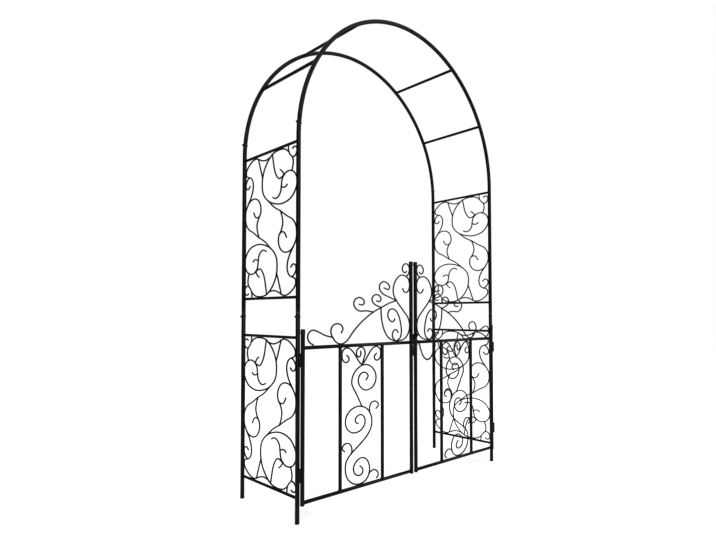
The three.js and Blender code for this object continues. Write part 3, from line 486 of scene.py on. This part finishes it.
class Shell:
    """Rings of points and the faces between them, gathered into one mesh."""

    def __init__(self):
        self.points = []
        self.faces = []

    def loft(self, rings, closed=False):
        """Skins a run of equal rings. A closed run joins its last ring to its first."""
        sides = len(rings[0])
        base = len(self.points)
        count = len(rings)
        for ring in rings:
            self.points.extend(ring)
        for row in range(count if closed else count - 1):
            here = base + row * sides
            there = base + (row + 1) % count * sides
            for k in range(sides):
                after = (k + 1) % sides
                self.faces.append((here + k, here + after, there + after, there + k))
        if not closed:
            self.faces.append(tuple(reversed(range(base, base + sides))))
            self.faces.append(tuple(range(base + (count - 1) * sides, base + count * sides)))

    def tube(self, points, radius, normal, sides=TUBE_SIDES, closed=False):
        """Round bar along a curve that lies in one plane, with its open ends slightly rounded."""
        rings = []
        count = len(points)
        for i, point in enumerate(points):
            before = points[i - 1] if closed or i > 0 else point
            after = points[(i + 1) % count] if closed or i < count - 1 else point
            along = (after - before).normalized()
            level = along.cross(normal).normalized()
            if not closed and i == 0:
                rings.append(circle(point, level, normal, radius - EDGE_ROUND, sides))
                point = point + along * EDGE_ROUND
            if not closed and i == count - 1:
                rings.append(circle(point - along * EDGE_ROUND, level, normal, radius, sides))
                rings.append(circle(point, level, normal, radius - EDGE_ROUND, sides))
            else:
                rings.append(circle(point, level, normal, radius, sides))
        self.loft(rings, closed)

    def turned(self, origin, axis, profile, sides=TUBE_SIDES, closed=False):
        """Turned shape round an axis, from pairs of radius and height."""
        first, second = square_to(axis)
        rings = [
            circle(origin + axis * height, first, second, radius, sides) for radius, height in profile
        ]
        self.loft(rings, closed)

    def saddle_weld(self, centre, post, post_radius, bar, bar_radius):
        """Bead round the end of a bar where it meets a round post. Bar points away from the post."""
        side = post.cross(bar)
        rings = []
        for i in range(SADDLE_STEPS):
            turn = 2 * math.pi * i / SADDLE_STEPS
            out = post * math.cos(turn) + side * math.sin(turn)
            reach = math.sqrt(max(0, post_radius ** 2 - (bar_radius * math.sin(turn)) ** 2))
            ripple = SADDLE_RIPPLE_SHARE * math.sin(SADDLE_RIPPLES * turn)
            swell = SADDLE_SWELL_SHARE * math.sin(SADDLE_SWELLS * turn + SADDLE_SWELL_START)
            width = BEAD_RADIUS * (1 + ripple + swell)
            rings.append(circle(centre + bar * reach + out * bar_radius, out, bar, width, BEAD_SIDES))
        self.loft(rings, closed=True)

    def seam_weld(self, start, end, radius):
        """Straight rippled bead."""
        along = (end - start).normalized()
        first, second = square_to(along)
        rings = []
        for i in range(SEAM_STEPS + 1):
            share = i / SEAM_STEPS
            swell = math.sqrt(max(SEAM_END_SHARE, 1 - (2 * share - 1) ** SEAM_BLUNTNESS))
            ripple = SEAM_RIPPLE_SHARE * math.sin(SEAM_RIPPLES * math.pi * share)
            width = radius * swell * (1 + ripple)
            rings.append(circle(start.lerp(end, share), first, second, width, BEAD_SIDES))
        self.loft(rings)

    def weld_spot(self, centre, along, normal, length, width, height):
        """Small oval bead, long along the wire."""
        level = along.cross(normal).normalized()
        rings = []
        for i in range(SPOT_STEPS + 1):
            turn = math.pi * (i + SPOT_END_SHARE) / (SPOT_STEPS + 2 * SPOT_END_SHARE)
            ring = []
            for k in range(BEAD_SIDES):
                spin = 2 * math.pi * k / BEAD_SIDES
                wave = math.sin(SPOT_RIPPLES * spin + SPOT_TWISTS * turn)
                ripple = 1 + SPOT_RIPPLE_SHARE * wave
                ring.append(
                    centre
                    - along * (length * math.cos(turn))
                    + level * (width * ripple * math.sin(turn) * math.cos(spin))
                    + normal * (height * ripple * math.sin(turn) * math.sin(spin))
                )
            rings.append(ring)
        self.loft(rings)


def circle(centre, first, second, radius, sides):
    turns = [2 * math.pi * k / sides for k in range(sides)]
    return [centre + first * (radius * math.cos(t)) + second * (radius * math.sin(t)) for t in turns]


def square_to(axis):
    """Two directions square to an axis and to each other."""
    helper = AWAY if abs(axis.dot(AWAY)) < NEARLY_ALONG else ACROSS
    first = axis.cross(helper).normalized()
    return first, axis.cross(first).normalized()


def make_piece(name, shell, slot, replaced=(), body=None):
    """Turns a shell into a smooth-shaded piece that rides on its body."""
    mesh = bpy.data.meshes.new(name)
    mesh.from_pydata(shell.points, [], shell.faces)
    work = bmesh.new()
    work.from_mesh(mesh)
    bmesh.ops.recalc_face_normals(work, faces=work.faces)
    work.to_mesh(mesh)
    work.free()
    mesh.polygons.foreach_set("use_smooth", [True] * len(mesh.polygons))
    mesh.set_sharp_from_angle(angle=math.radians(SHARP_ANGLE))
    mesh.materials.append(MATERIALS[slot])
    piece = bpy.data.objects.new(name, mesh)
    bpy.context.scene.collection.objects.link(piece)
    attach(piece, body or BODY_OF[replaced[0]])
    if replaced:
        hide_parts(*replaced)


def catmull_rom(points, steps):
    """Smooth curve through points, easing in and out of each by the spacing of its neighbours."""
    ghost = [points[0] * 2 - points[1], *points, points[-1] * 2 - points[-2]]
    curve = []
    for before, start, end, after in zip(ghost, ghost[1:], ghost[2:], ghost[3:]):
        lead = (start - before).length ** 0.5
        gap = (end - start).length ** 0.5
        trail = (after - end).length ** 0.5
        leave = ((start - before) / lead - (end - before) / (lead + gap) + (end - start) / gap) * gap
        reach = ((end - start) / gap - (after - start) / (gap + trail) + (after - end) / trail) * gap
        for i in range(steps):
            t = i / steps
            square = t * t
            cube = square * t
            curve.append(
                start * (2 * cube - 3 * square + 1)
                + leave * (cube - 2 * square + t)
                + end * (3 * square - 2 * cube)
                + reach * (cube - square)
            )
    curve.append(points[-1])
    return curve


# Frame. A run is the distance along a post and its quarter hoop, from the ground.

def frame_angle(run):
    return max(0, run - SPRING_HEIGHT) / HOOP_RADIUS


def frame_point(run, side, y):
    angle = frame_angle(run)
    x = side * HOOP_RADIUS * math.cos(angle)
    return Vector((x, y, min(run, SPRING_HEIGHT) + HOOP_RADIUS * math.sin(angle)))


def frame_tangent(run, side):
    angle = frame_angle(run)
    return Vector((-side * math.sin(angle), 0, math.cos(angle)))


def frame_outward(run, side):
    angle = frame_angle(run)
    return Vector((side * math.cos(angle), 0, math.sin(angle)))


def frame_tube(start, end, side, y, steps):
    shell = Shell()
    points = [frame_point(start + (end - start) * i / steps, side, y) for i in range(steps + 1)]
    shell.tube(points, POST_RADIUS, AWAY)
    return shell


def dome(radius, base, height, angles):
    """Pairs of radius and height up a dome, from its foot."""
    turns = [math.radians(angle) for angle in angles]
    return [(radius * math.cos(turn), base + height * math.sin(turn)) for turn in turns]


def build_joint_bolt(name, run, side, y):
    """Cap nut on the outside of the joint and a low domed head with a round socket on the inside."""
    centre = frame_point(run, side, y)
    out = frame_outward(run, side)
    seat = POST_RADIUS + CLEARANCE
    nut_top = seat + NUT_HEIGHT
    bolt = Shell()
    bolt.turned(centre, out, [
        (NUT_RADIUS - EDGE_ROUND, seat - BOLT_SINK), (NUT_RADIUS, seat),
        (NUT_RADIUS, nut_top - EDGE_ROUND), (NUT_RADIUS - EDGE_ROUND, nut_top),
    ], sides=NUT_SIDES)
    bolt.turned(centre, out, [
        (NUT_DOME_RADIUS, nut_top - NUT_DOME_SINK),
        *dome(NUT_DOME_RADIUS, nut_top, NUT_DOME_HEIGHT, DOME_ANGLES),
    ], sides=NUT_DOME_SIDES)
    head = dome(BOLT_HEAD_RADIUS, seat, BOLT_HEAD_HEIGHT, HEAD_ANGLES)
    head_top = head[-1][1]
    bolt.turned(centre, -out, [
        (AXIS_RADIUS, seat + SOCKET_FLOOR), (SOCKET_RADIUS, seat + SOCKET_FLOOR),
        (SOCKET_RADIUS, head_top + SOCKET_LIP), *reversed(head),
        (BOLT_HEAD_RADIUS, seat - BOLT_SINK), (AXIS_RADIUS, seat - BOLT_SINK),
    ])
    make_piece(name, bolt, "painted_steel", body="frame")


def build_post(corner, side, y):
    """Two post sections and a quarter hoop, with the bolts through their joints."""
    lower = Shell()
    lower.turned(frame_point(0, side, y), UP, [
        (POST_RADIUS - EDGE_ROUND, 0), (POST_RADIUS, EDGE_ROUND),
        (POST_RADIUS, LOWER_JOINT_HEIGHT - EDGE_ROUND),
        (POST_RADIUS - EDGE_ROUND, LOWER_JOINT_HEIGHT),
    ])
    make_piece(f"tube_lower_post_{corner}", lower, "painted_steel", [f"lower_post_{corner}"])
    upper_start = LOWER_JOINT_HEIGHT + CLEARANCE
    upper = frame_tube(upper_start, UPPER_JOINT_RUN, side, y, UPPER_POST_STEPS)
    make_piece(f"tube_upper_post_{corner}", upper, "painted_steel", [f"upper_post_{corner}"])
    hoop = frame_tube(UPPER_JOINT_RUN + CLEARANCE, CROWN_RUN - CLEARANCE, side, y, HOOP_STEPS)
    make_piece(f"tube_hoop_{corner}", hoop, "painted_steel", [f"hoop_{corner}"])
    for place, run in (("lower", LOWER_JOINT_HEIGHT), ("upper", UPPER_JOINT_RUN)):
        build_joint_bolt(f"{place}_joint_bolt_{corner}", run - BOLT_BELOW_JOINT, side, y)


def build_cross_bar(name, front, back, radius, along_post):
    """Round bar from a front tube of the frame to the one behind it, welded to both."""
    bar = Shell()
    bar.tube([front, back], radius, along_post)
    bar.saddle_weld(front, along_post, POST_RADIUS, AWAY, radius)
    bar.saddle_weld(back, along_post, POST_RADIUS, -AWAY, radius)
    make_piece(f"round_{name}", bar, "painted_steel", [name])


def build_frame():
    for side_name, side in (("left", -1), ("right", 1)):
        for end_name, y in (("front", FRONT_Y), ("back", BACK_Y)):
            build_post(f"{end_name}_{side_name}", side, y)
        for angle in RUNG_ANGLES:
            run = SPRING_HEIGHT + HOOP_RADIUS * math.radians(angle)
            front, back = frame_point(run, side, FRONT_Y), frame_point(run, side, BACK_Y)
            name = f"roof_rung_{side_name}_{angle}"
            build_cross_bar(name, front, back, RUNG_RADIUS, frame_tangent(run, side))


# Scrollwork

def weld_to_bars(shell, stroke, curve, normal, touching):
    """Weld spots at the points of a stroke that touch a bar beside it."""
    for i, pair in enumerate(stroke):
        toward = touching(*pair)
        if toward is None:
            continue
        at = i * WIRE_STEPS
        along = (curve[min(at + 1, len(curve) - 1)] - curve[max(at - 1, 0)]).normalized()
        spot = curve[at] + toward * (WIRE_RADIUS - WELD_DEPTH / 2)
        shell.weld_spot(spot, along, normal, **WIRE_ON_BAR_SPOT)


def weld_ends(shell, curve, others, normal):
    """Weld spots at the ends of a wire that touch another wire."""
    for end, inner in ((0, 1), (-1, -2)):
        near = min(others, key=lambda point: (point - curve[end]).length)
        if (near - curve[end]).length < 2 * WIRE_RADIUS:
            along = (curve[end] - curve[inner]).normalized()
            shell.weld_spot(near.lerp(curve[end], 0.5), along, normal, **WIRE_ON_WIRE_SPOT)


def build_scroll(name, strokes, to_point, normal, touching):
    """Round wires, welded where they touch each other or the bars round them."""
    shell = Shell()
    curves = [catmull_rom([to_point(*pair) for pair in stroke], WIRE_STEPS) for stroke in strokes]
    for curve in curves:
        shell.tube(curve, WIRE_RADIUS, normal, WIRE_SIDES)
    for stroke, curve in zip(strokes, curves):
        weld_to_bars(shell, stroke, curve, normal, touching)
        others = [point for other in curves if other is not curve for point in other]
        weld_ends(shell, curve, others, normal)
    make_piece(f"wire_{name}", shell, "painted_steel", [name])


def build_side_scroll(name, side, height, way):
    half_width = DEPTH / 2 - POST_RADIUS - WIRE_RADIUS + WELD_DEPTH
    half_height = PANEL_HEIGHT / 2 - SIDE_RAIL_RADIUS - WIRE_RADIUS + WELD_DEPTH

    def to_point(across, up):
        y = BACK_SHIFT + across * half_width
        return Vector((side * SPAN / 2, y, height + PANEL_HEIGHT / 2 + way * up * half_height))

    def touching(across, up):
        if abs(up) == 1:
            return UP * (way * up)
        return AWAY * across if abs(across) == 1 else None

    build_scroll(name, side_panel_shares, to_point, ACROSS, touching)


def build_side_panels():
    for side_name, side in (("left", -1), ("right", 1)):
        for level, (height, way) in PANEL_LEVELS.items():
            for edge, z in (("bottom", height), ("top", height + PANEL_HEIGHT)):
                name = f"{level}_panel_{edge}_rail_{side_name}"
                front = Vector((side * SPAN / 2, FRONT_Y, z))
                back = Vector((side * SPAN / 2, BACK_Y, z))
                build_cross_bar(name, front, back, SIDE_RAIL_RADIUS, UP)
            build_side_scroll(f"{level}_panel_scroll_{side_name}", side, height, way)


# Gate leaves

def leaf_x(side, across):
    """Place across a leaf, from its hinge stile at 0."""
    return side * (SPAN / 2 - GATE_INSET - across)


def build_leaf_rails(side_name, side):
    inward = ACROSS * -side
    for edge, z in (("bottom", BOTTOM_RAIL_HEIGHT), ("top", TOP_RAIL_HEIGHT)):
        hinge_end = Vector((leaf_x(side, 0), LEAF_Y, z))
        meeting_end = Vector((leaf_x(side, LEAF_WIDTH), LEAF_Y, z))
        inset = inward * RAIL_END_INSET
        rail = Shell()
        rail.tube([hinge_end + inset, meeting_end - inset], BAR_RADIUS, UP)
        rail.saddle_weld(hinge_end, UP, STILE_RADIUS, inward, BAR_RADIUS)
        rail.saddle_weld(meeting_end, UP, STILE_RADIUS, -inward, BAR_RADIUS)
        name = f"{side_name}_gate_{edge}_rail"
        make_piece(f"round_{name}", rail, "painted_steel", [name])


def build_leaf_bars(side_name, side):
    for place, across in BAR_PLACES.items():
        foot = Vector((leaf_x(side, across), LEAF_Y, BOTTOM_RAIL_HEIGHT))
        head = Vector((leaf_x(side, across), LEAF_Y, TOP_RAIL_HEIGHT))
        bar = Shell()
        bar.tube([foot, head], BAR_RADIUS, AWAY)
        bar.saddle_weld(foot, ACROSS, BAR_RADIUS, UP, BAR_RADIUS)
        bar.saddle_weld(head, ACROSS, BAR_RADIUS, -UP, BAR_RADIUS)
        name = f"{side_name}_gate_{place}_bar"
        make_piece(f"round_{name}", bar, "painted_steel", [name])


def build_stiles(side_name, side):
    for kind, across in (("hinge", 0), ("meeting", LEAF_WIDTH)):
        name = f"{side_name}_{kind}_stile"
        low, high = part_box(name)
        axis_foot = Vector((leaf_x(side, across), LEAF_Y, 0))
        bore = STILE_RADIUS - TUBE_WALL
        stile = Shell()
        stile.turned(axis_foot, UP, [
            (bore, low.z), (STILE_RADIUS - EDGE_ROUND, low.z), (STILE_RADIUS, low.z + EDGE_ROUND),
            (STILE_RADIUS, high.z), (bore, high.z),
        ], closed=True)
        make_piece(f"tube_{name}", stile, "painted_steel", [name])
        build_cap(f"{name}_cap", axis_foot)


def build_cap(name, axis_foot):
    """Pushed-on cap with a rounded crown and a small bead round its mouth."""
    low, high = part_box(name)
    inside = STILE_RADIUS + CLEARANCE
    ceiling = high.z - CAP_THICKNESS
    mouth = [(CAP_RADIUS - inset, low.z + rise) for inset, rise in CAP_MOUTH]
    flat_radius = mouth[-1][0] - CAP_CROWN_ROUND
    crown = dome(CAP_CROWN_ROUND, high.z - CAP_CROWN_ROUND, CAP_CROWN_ROUND, CAP_CROWN_ANGLES)
    cap = Shell()
    cap.turned(axis_foot, UP, [
        (AXIS_RADIUS, ceiling), (inside, ceiling), (inside, low.z), *mouth,
        *((flat_radius + radius, height) for radius, height in crown), (AXIS_RADIUS, high.z),
    ])
    make_piece(f"moulded_{name}", cap, "cap_plastic", [name])


def build_crest_scroll(side_name, side):
    rail_touch = BAR_RADIUS + WIRE_RADIUS - WELD_DEPTH
    stile_touch = STILE_RADIUS + WIRE_RADIUS - WELD_DEPTH
    width = LEAF_WIDTH - 2 * stile_touch
    height = MEETING_STILE_RISE - rail_touch

    def to_point(across, up):
        x = leaf_x(side, LEAF_WIDTH - stile_touch - across * width)
        return Vector((x, LEAF_Y, TOP_RAIL_HEIGHT + rail_touch + up * height))

    def touching(across, up):
        if up == 0:
            return -UP
        return ACROSS * -side if across == 0 else None

    build_scroll(f"{side_name}_gate_crest_scroll", crest_shares, to_point, AWAY, touching)


def build_leaf_panel_scroll(side_name, side):
    rail_touch = BAR_RADIUS + WIRE_RADIUS - WELD_DEPTH
    middle = (BAR_PLACES["outer"] + BAR_PLACES["inner"]) / 2
    half_width = (BAR_PLACES["inner"] - BAR_PLACES["outer"]) / 2 - rail_touch
    height = TOP_RAIL_HEIGHT - BOTTOM_RAIL_HEIGHT - 2 * rail_touch

    def to_point(across, up):
        x = leaf_x(side, middle + across * half_width)
        return Vector((x, LEAF_Y, BOTTOM_RAIL_HEIGHT + rail_touch + up * height))

    def touching(across, up):
        if up in (0, 1):
            return UP * (2 * up - 1)
        return ACROSS * (side * -across) if abs(across) == 1 else None

    build_scroll(f"{side_name}_gate_panel_scroll", leaf_panel_shares, to_point, AWAY, touching)


def add_contact_beads(shell, axis_foot, other_foot, reach, low, high, sink, spread, radius):
    """Two upright beads in the notches where a round piece lies against a tube."""
    toward = (other_foot - axis_foot).normalized()
    sideways = toward.cross(UP)
    contact = axis_foot + toward * (reach - sink)
    for way in (-1, 1):
        foot = contact + sideways * (way * spread)
        shell.seam_weld(foot + UP * (low + BEAD_INSET), foot + UP * (high - BEAD_INSET), radius)


def build_hinge(side_name, level, post, stile):
    """Knuckle with its pin, welded to the post, and sleeve, welded to the stile."""
    pin_name = f"{side_name}_{level}_hinge_pin"
    sleeve_name = f"{side_name}_{level}_hinge_sleeve"
    pin_low, pin_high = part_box(pin_name)
    low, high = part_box(sleeve_name)
    axis_foot = Vector(((pin_low.x + pin_high.x) / 2, (pin_low.y + pin_high.y) / 2, 0))
    shelf = low.z - BARREL_GAP
    pin = Shell()
    pin.turned(axis_foot, UP, [
        *((BARREL_RADIUS - inset, pin_low.z + along) for inset, along in BARREL_END),
        (BARREL_RADIUS, shelf - BARREL_EDGE), (BARREL_RADIUS - BARREL_EDGE, shelf),
        (HINGE_PIN_RADIUS, shelf), (HINGE_PIN_RADIUS, pin_high.z - HINGE_PIN_ROUND),
        (HINGE_PIN_RADIUS - HINGE_PIN_ROUND, pin_high.z),
    ])
    add_contact_beads(pin, axis_foot, post, BARREL_RADIUS, pin_low.z, shelf, **BARREL_BEADS)
    make_piece(f"turned_{pin_name}", pin, "painted_steel", [pin_name])
    bore = HINGE_PIN_RADIUS + CLEARANCE
    bore_top = pin_high.z + BARREL_GAP
    sleeve = Shell()
    sleeve.turned(axis_foot, UP, [
        (AXIS_RADIUS, bore_top), (bore, bore_top), (bore, low.z),
        (BARREL_RADIUS - BARREL_EDGE, low.z), (BARREL_RADIUS, low.z + BARREL_EDGE),
        *((BARREL_RADIUS - inset, high.z - along) for inset, along in reversed(BARREL_END)),
        (AXIS_RADIUS, high.z),
    ])
    add_contact_beads(sleeve, axis_foot, stile, BARREL_RADIUS, low.z, high.z, **BARREL_BEADS)
    make_piece(f"turned_{sleeve_name}", sleeve, "painted_steel", [sleeve_name])


def build_leaf(side_name, side):
    build_leaf_rails(side_name, side)
    build_leaf_bars(side_name, side)
    build_stiles(side_name, side)
    build_crest_scroll(side_name, side)
    build_leaf_panel_scroll(side_name, side)
    post = frame_point(0, side, FRONT_Y)
    stile = Vector((leaf_x(side, 0), LEAF_Y, 0))
    for level in ("upper", "lower"):
        build_hinge(side_name, level, post, stile)


# Latch

def build_eye(name, bore, stile_side):
    low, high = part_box(name)
    axis_foot = Vector((0, LEAF_Y, 0))
    eye = Shell()
    eye.turned(axis_foot, UP, [
        (bore, low.z + EYE_RIM), (bore + EYE_RIM, low.z), (EYE_RADIUS - EYE_RIM, low.z),
        (EYE_RADIUS, low.z + EYE_RIM), (EYE_RADIUS, high.z - EYE_RIM),
        (EYE_RADIUS - EYE_RIM, high.z), (bore + EYE_RIM, high.z), (bore, high.z - EYE_RIM),
    ], closed=True)
    stile = Vector((stile_side * MEETING_OFFSET, LEAF_Y, 0))
    add_contact_beads(eye, axis_foot, stile, EYE_RADIUS, low.z, high.z, **EYE_BEADS)
    make_piece(f"turned_{name}", eye, "painted_steel", [name])


def build_latch_pin():
    """Drop pin with a thin cranked handle and a ball knob."""
    low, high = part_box("latch_pin")
    axis_foot = Vector((0, LEAF_Y, 0))
    crank = high.z - KNOB_RADIUS
    pin = Shell()
    pin.turned(axis_foot, UP, [
        (LATCH_PIN_TIP_RADIUS, low.z), (LATCH_PIN_RADIUS, low.z + LATCH_PIN_TIP_LENGTH),
        *((LATCH_PIN_RADIUS - inset, crank + rise) for inset, rise in LATCH_PIN_HEAD),
    ])
    crank_foot = axis_foot + UP * crank
    knob = crank_foot - AWAY * HANDLE_REACH
    pin.tube([crank_foot, knob], HANDLE_RADIUS, UP, HANDLE_SIDES)
    collar_foot = crank_foot - AWAY * (HANDLE_REACH - KNOB_RADIUS - COLLAR_SHOWS)
    pin.turned(collar_foot, -AWAY, COLLAR_PROFILE)
    spare = 2 * KNOB_END_SHARE
    turns = [
        math.pi * (i + KNOB_END_SHARE) / (KNOB_STEPS + spare) for i in range(KNOB_STEPS + 1)
    ]
    ball = [(KNOB_RADIUS * math.sin(turn), -KNOB_RADIUS * math.cos(turn)) for turn in turns]
    pin.turned(knob, -AWAY, ball)
    make_piece("turned_latch_pin", pin, "plated_steel", ["latch_pin"])


def add_link(shell, centre, along, across):
    """One chain link: a closed loop with round ends."""
    bend = LINK_WIDTH / 2
    straight = (CHAIN_PITCH + LINK_OVERLAP) / 2 - bend
    points = []
    for way in (1, -1):
        for i in range(LINK_BEND_STEPS + 1):
            turn = math.pi * (i / LINK_BEND_STEPS - 0.5)
            points.append(
                centre
                + along * (way * (straight + bend * math.cos(turn)))
                + across * (way * bend * math.sin(turn))
            )
    normal = along.cross(across).normalized()
    shell.tube(points, CHAIN_WIRE_RADIUS, normal, LINK_SIDES, closed=True)


def hanging_curve(span, sag, steps):
    """Heights of a free chain below its ends, at equal steps across its span."""
    low, high = span * DEEPEST_CURVE_SHARE, span * FLATTEST_CURVE_SHARE
    for _ in range(CURVE_TRIES):
        scale = (low + high) / 2
        if scale * (math.cosh(span / 2 / scale) - 1) > sag:
            low = scale
        else:
            high = scale
    lift = [scale * (math.cosh(span * (i / steps - 0.5) / scale) - 1) for i in range(steps + 1)]
    return [height - sag for height in lift]


def link_ends(start_x, y, sag):
    """Points a pitch apart down and up the hanging curve, from a little under the rail."""
    samples = [
        Vector((start_x + CHAIN_SPAN * i / CHAIN_SAMPLES, y, TOP_RAIL_HEIGHT + height))
        for i, height in enumerate(hanging_curve(CHAIN_SPAN, sag, CHAIN_SAMPLES))
    ]
    hanging = [point for point in samples if point.z < TOP_RAIL_HEIGHT - CHAIN_FIRST_DROP]
    ends = [hanging[0]]
    for point in hanging:
        if (point - ends[-1]).length >= CHAIN_PITCH:
            ends.append(point)
    return ends


def build_chain():
    """Links along a hanging curve, on a ring round the rail at either end."""
    low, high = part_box("latch_chain")
    start_x, end_x = (low.x + high.x - CHAIN_SPAN) / 2, (low.x + high.x + CHAIN_SPAN) / 2
    sag = TOP_RAIL_HEIGHT - low.z - LINK_WIDTH / 2 - CHAIN_WIRE_RADIUS
    ends = link_ends(start_x, (low.y + high.y) / 2, sag)
    chain = Shell()
    for i, (here, there) in enumerate(zip(ends, ends[1:])):
        along = (there - here).normalized()
        across = AWAY if i % 2 else along.cross(AWAY).normalized()
        add_link(chain, here.lerp(there, 0.5), along, across)
    for x in (start_x, end_x):
        centre = Vector((x, LEAF_Y, TOP_RAIL_HEIGHT - RING_DROP))
        ring_radius = BAR_RADIUS + CHAIN_WIRE_RADIUS + RING_PLAY
        ring = circle(centre, AWAY, UP, ring_radius, RING_STEPS)
        chain.tube(ring, CHAIN_WIRE_RADIUS, ACROSS, LINK_SIDES, closed=True)
    make_piece("linked_latch_chain", chain, "plated_steel", ["latch_chain"])


# Setting

def build_camera():
    """Camera in front of the left leaf, tilted up a little, with its axis a little under the middle."""
    data = bpy.data.cameras.new("camera")
    data.sensor_width = SENSOR_WIDTH
    data.sensor_fit = "HORIZONTAL"
    data.lens = data.sensor_width * FOCAL_PIXELS / PICTURE_WIDTH
    data.shift_y = (AXIS_ROW - PICTURE_HEIGHT / 2) / PICTURE_WIDTH
    camera = bpy.data.objects.new("camera", data)
    bpy.context.scene.collection.objects.link(camera)
    camera.location = (-CAMERA_LEFT, BACK_SHIFT - CAMERA_IN_FRONT, CAMERA_HEIGHT)
    camera.rotation_euler = (math.radians(CAMERA_PITCH), 0, math.radians(CAMERA_HEADING))
    bpy.context.scene.camera = camera


def build_floor():
    corners = [
        (x * FLOOR_REACH, y * FLOOR_REACH, 0) for x, y in ((-1, -1), (1, -1), (1, 1), (-1, 1))
    ]
    mesh = bpy.data.meshes.new("floor")
    mesh.from_pydata(corners, [], [(0, 1, 2, 3)])
    pale = Surface("pale_floor")
    pale.feed("Base Color", pale.ramp(pale.noise(**FLOOR_NOISE), FLOOR_DARK, FLOOR_LIGHT))
    pale.hold("Roughness", FLOOR_ROUGHNESS)
    pale.hold("Specular IOR Level", FLOOR_SPECULAR)
    mesh.materials.append(pale.material)
    floor = bpy.data.objects.new("floor", mesh)
    bpy.context.scene.collection.objects.link(floor)


def area_light(name, place, size, power):
    """Square light that faces the middle of the arch."""
    data = bpy.data.lights.new(name, "AREA")
    data.shape = "SQUARE"
    data.size = size
    data.energy = power
    light = bpy.data.objects.new(name, data)
    bpy.context.scene.collection.objects.link(light)
    light.location = place
    facing = Vector(LIGHT_TARGET) - Vector(place)
    light.rotation_euler = facing.to_track_quat("-Z", "Y").to_euler()


def build_world():
    """White studio: bright to look at, but with little of it mirrored in the black paint."""
    world = bpy.data.worlds.new("studio")
    bpy.context.scene.world = world
    world.use_nodes = True
    nodes, links = world.node_tree.nodes, world.node_tree.links
    seen = nodes["Background"]
    seen.inputs["Color"].default_value = (*WHITE, 1)
    lit = nodes.new("ShaderNodeBackground")
    lit.inputs["Color"].default_value = (*WHITE, 1)
    lit.inputs["Strength"].default_value = GLOW_STRENGTH
    path = nodes.new("ShaderNodeLightPath")
    mix = nodes.new("ShaderNodeMixShader")
    links.new(path.outputs["Is Camera Ray"], mix.inputs["Fac"])
    links.new(lit.outputs["Background"], mix.inputs[1])
    links.new(seen.outputs["Background"], mix.inputs[2])
    links.new(mix.outputs["Shader"], nodes["World Output"].inputs["Surface"])


def build_lights():
    scene = bpy.context.scene
    sun = bpy.data.objects.new("overhead", bpy.data.lights.new("overhead", "SUN"))
    sun.data.energy = SUN_STRENGTH
    sun.data.angle = math.radians(SUN_WIDTH)
    sun.rotation_euler = (*(math.radians(angle) for angle in SUN_TILT), 0)
    scene.collection.objects.link(sun)
    area_light("key", **KEY_LIGHT)
    area_light("fill", **FILL_LIGHT)
    scene.view_settings.view_transform = "Standard"
    scene.view_settings.gamma = VIEW_GAMMA


build_camera()
build_frame()
build_side_panels()
build_leaf("left", -1)
build_leaf("right", 1)
build_eye("left_latch_eye", LATCH_PIN_RADIUS + LOWER_EYE_PLAY, -1)
build_eye("right_latch_eye", LATCH_PIN_RADIUS + CLEARANCE, 1)
build_latch_pin()
build_chain()
build_floor()
build_world()
build_lights()
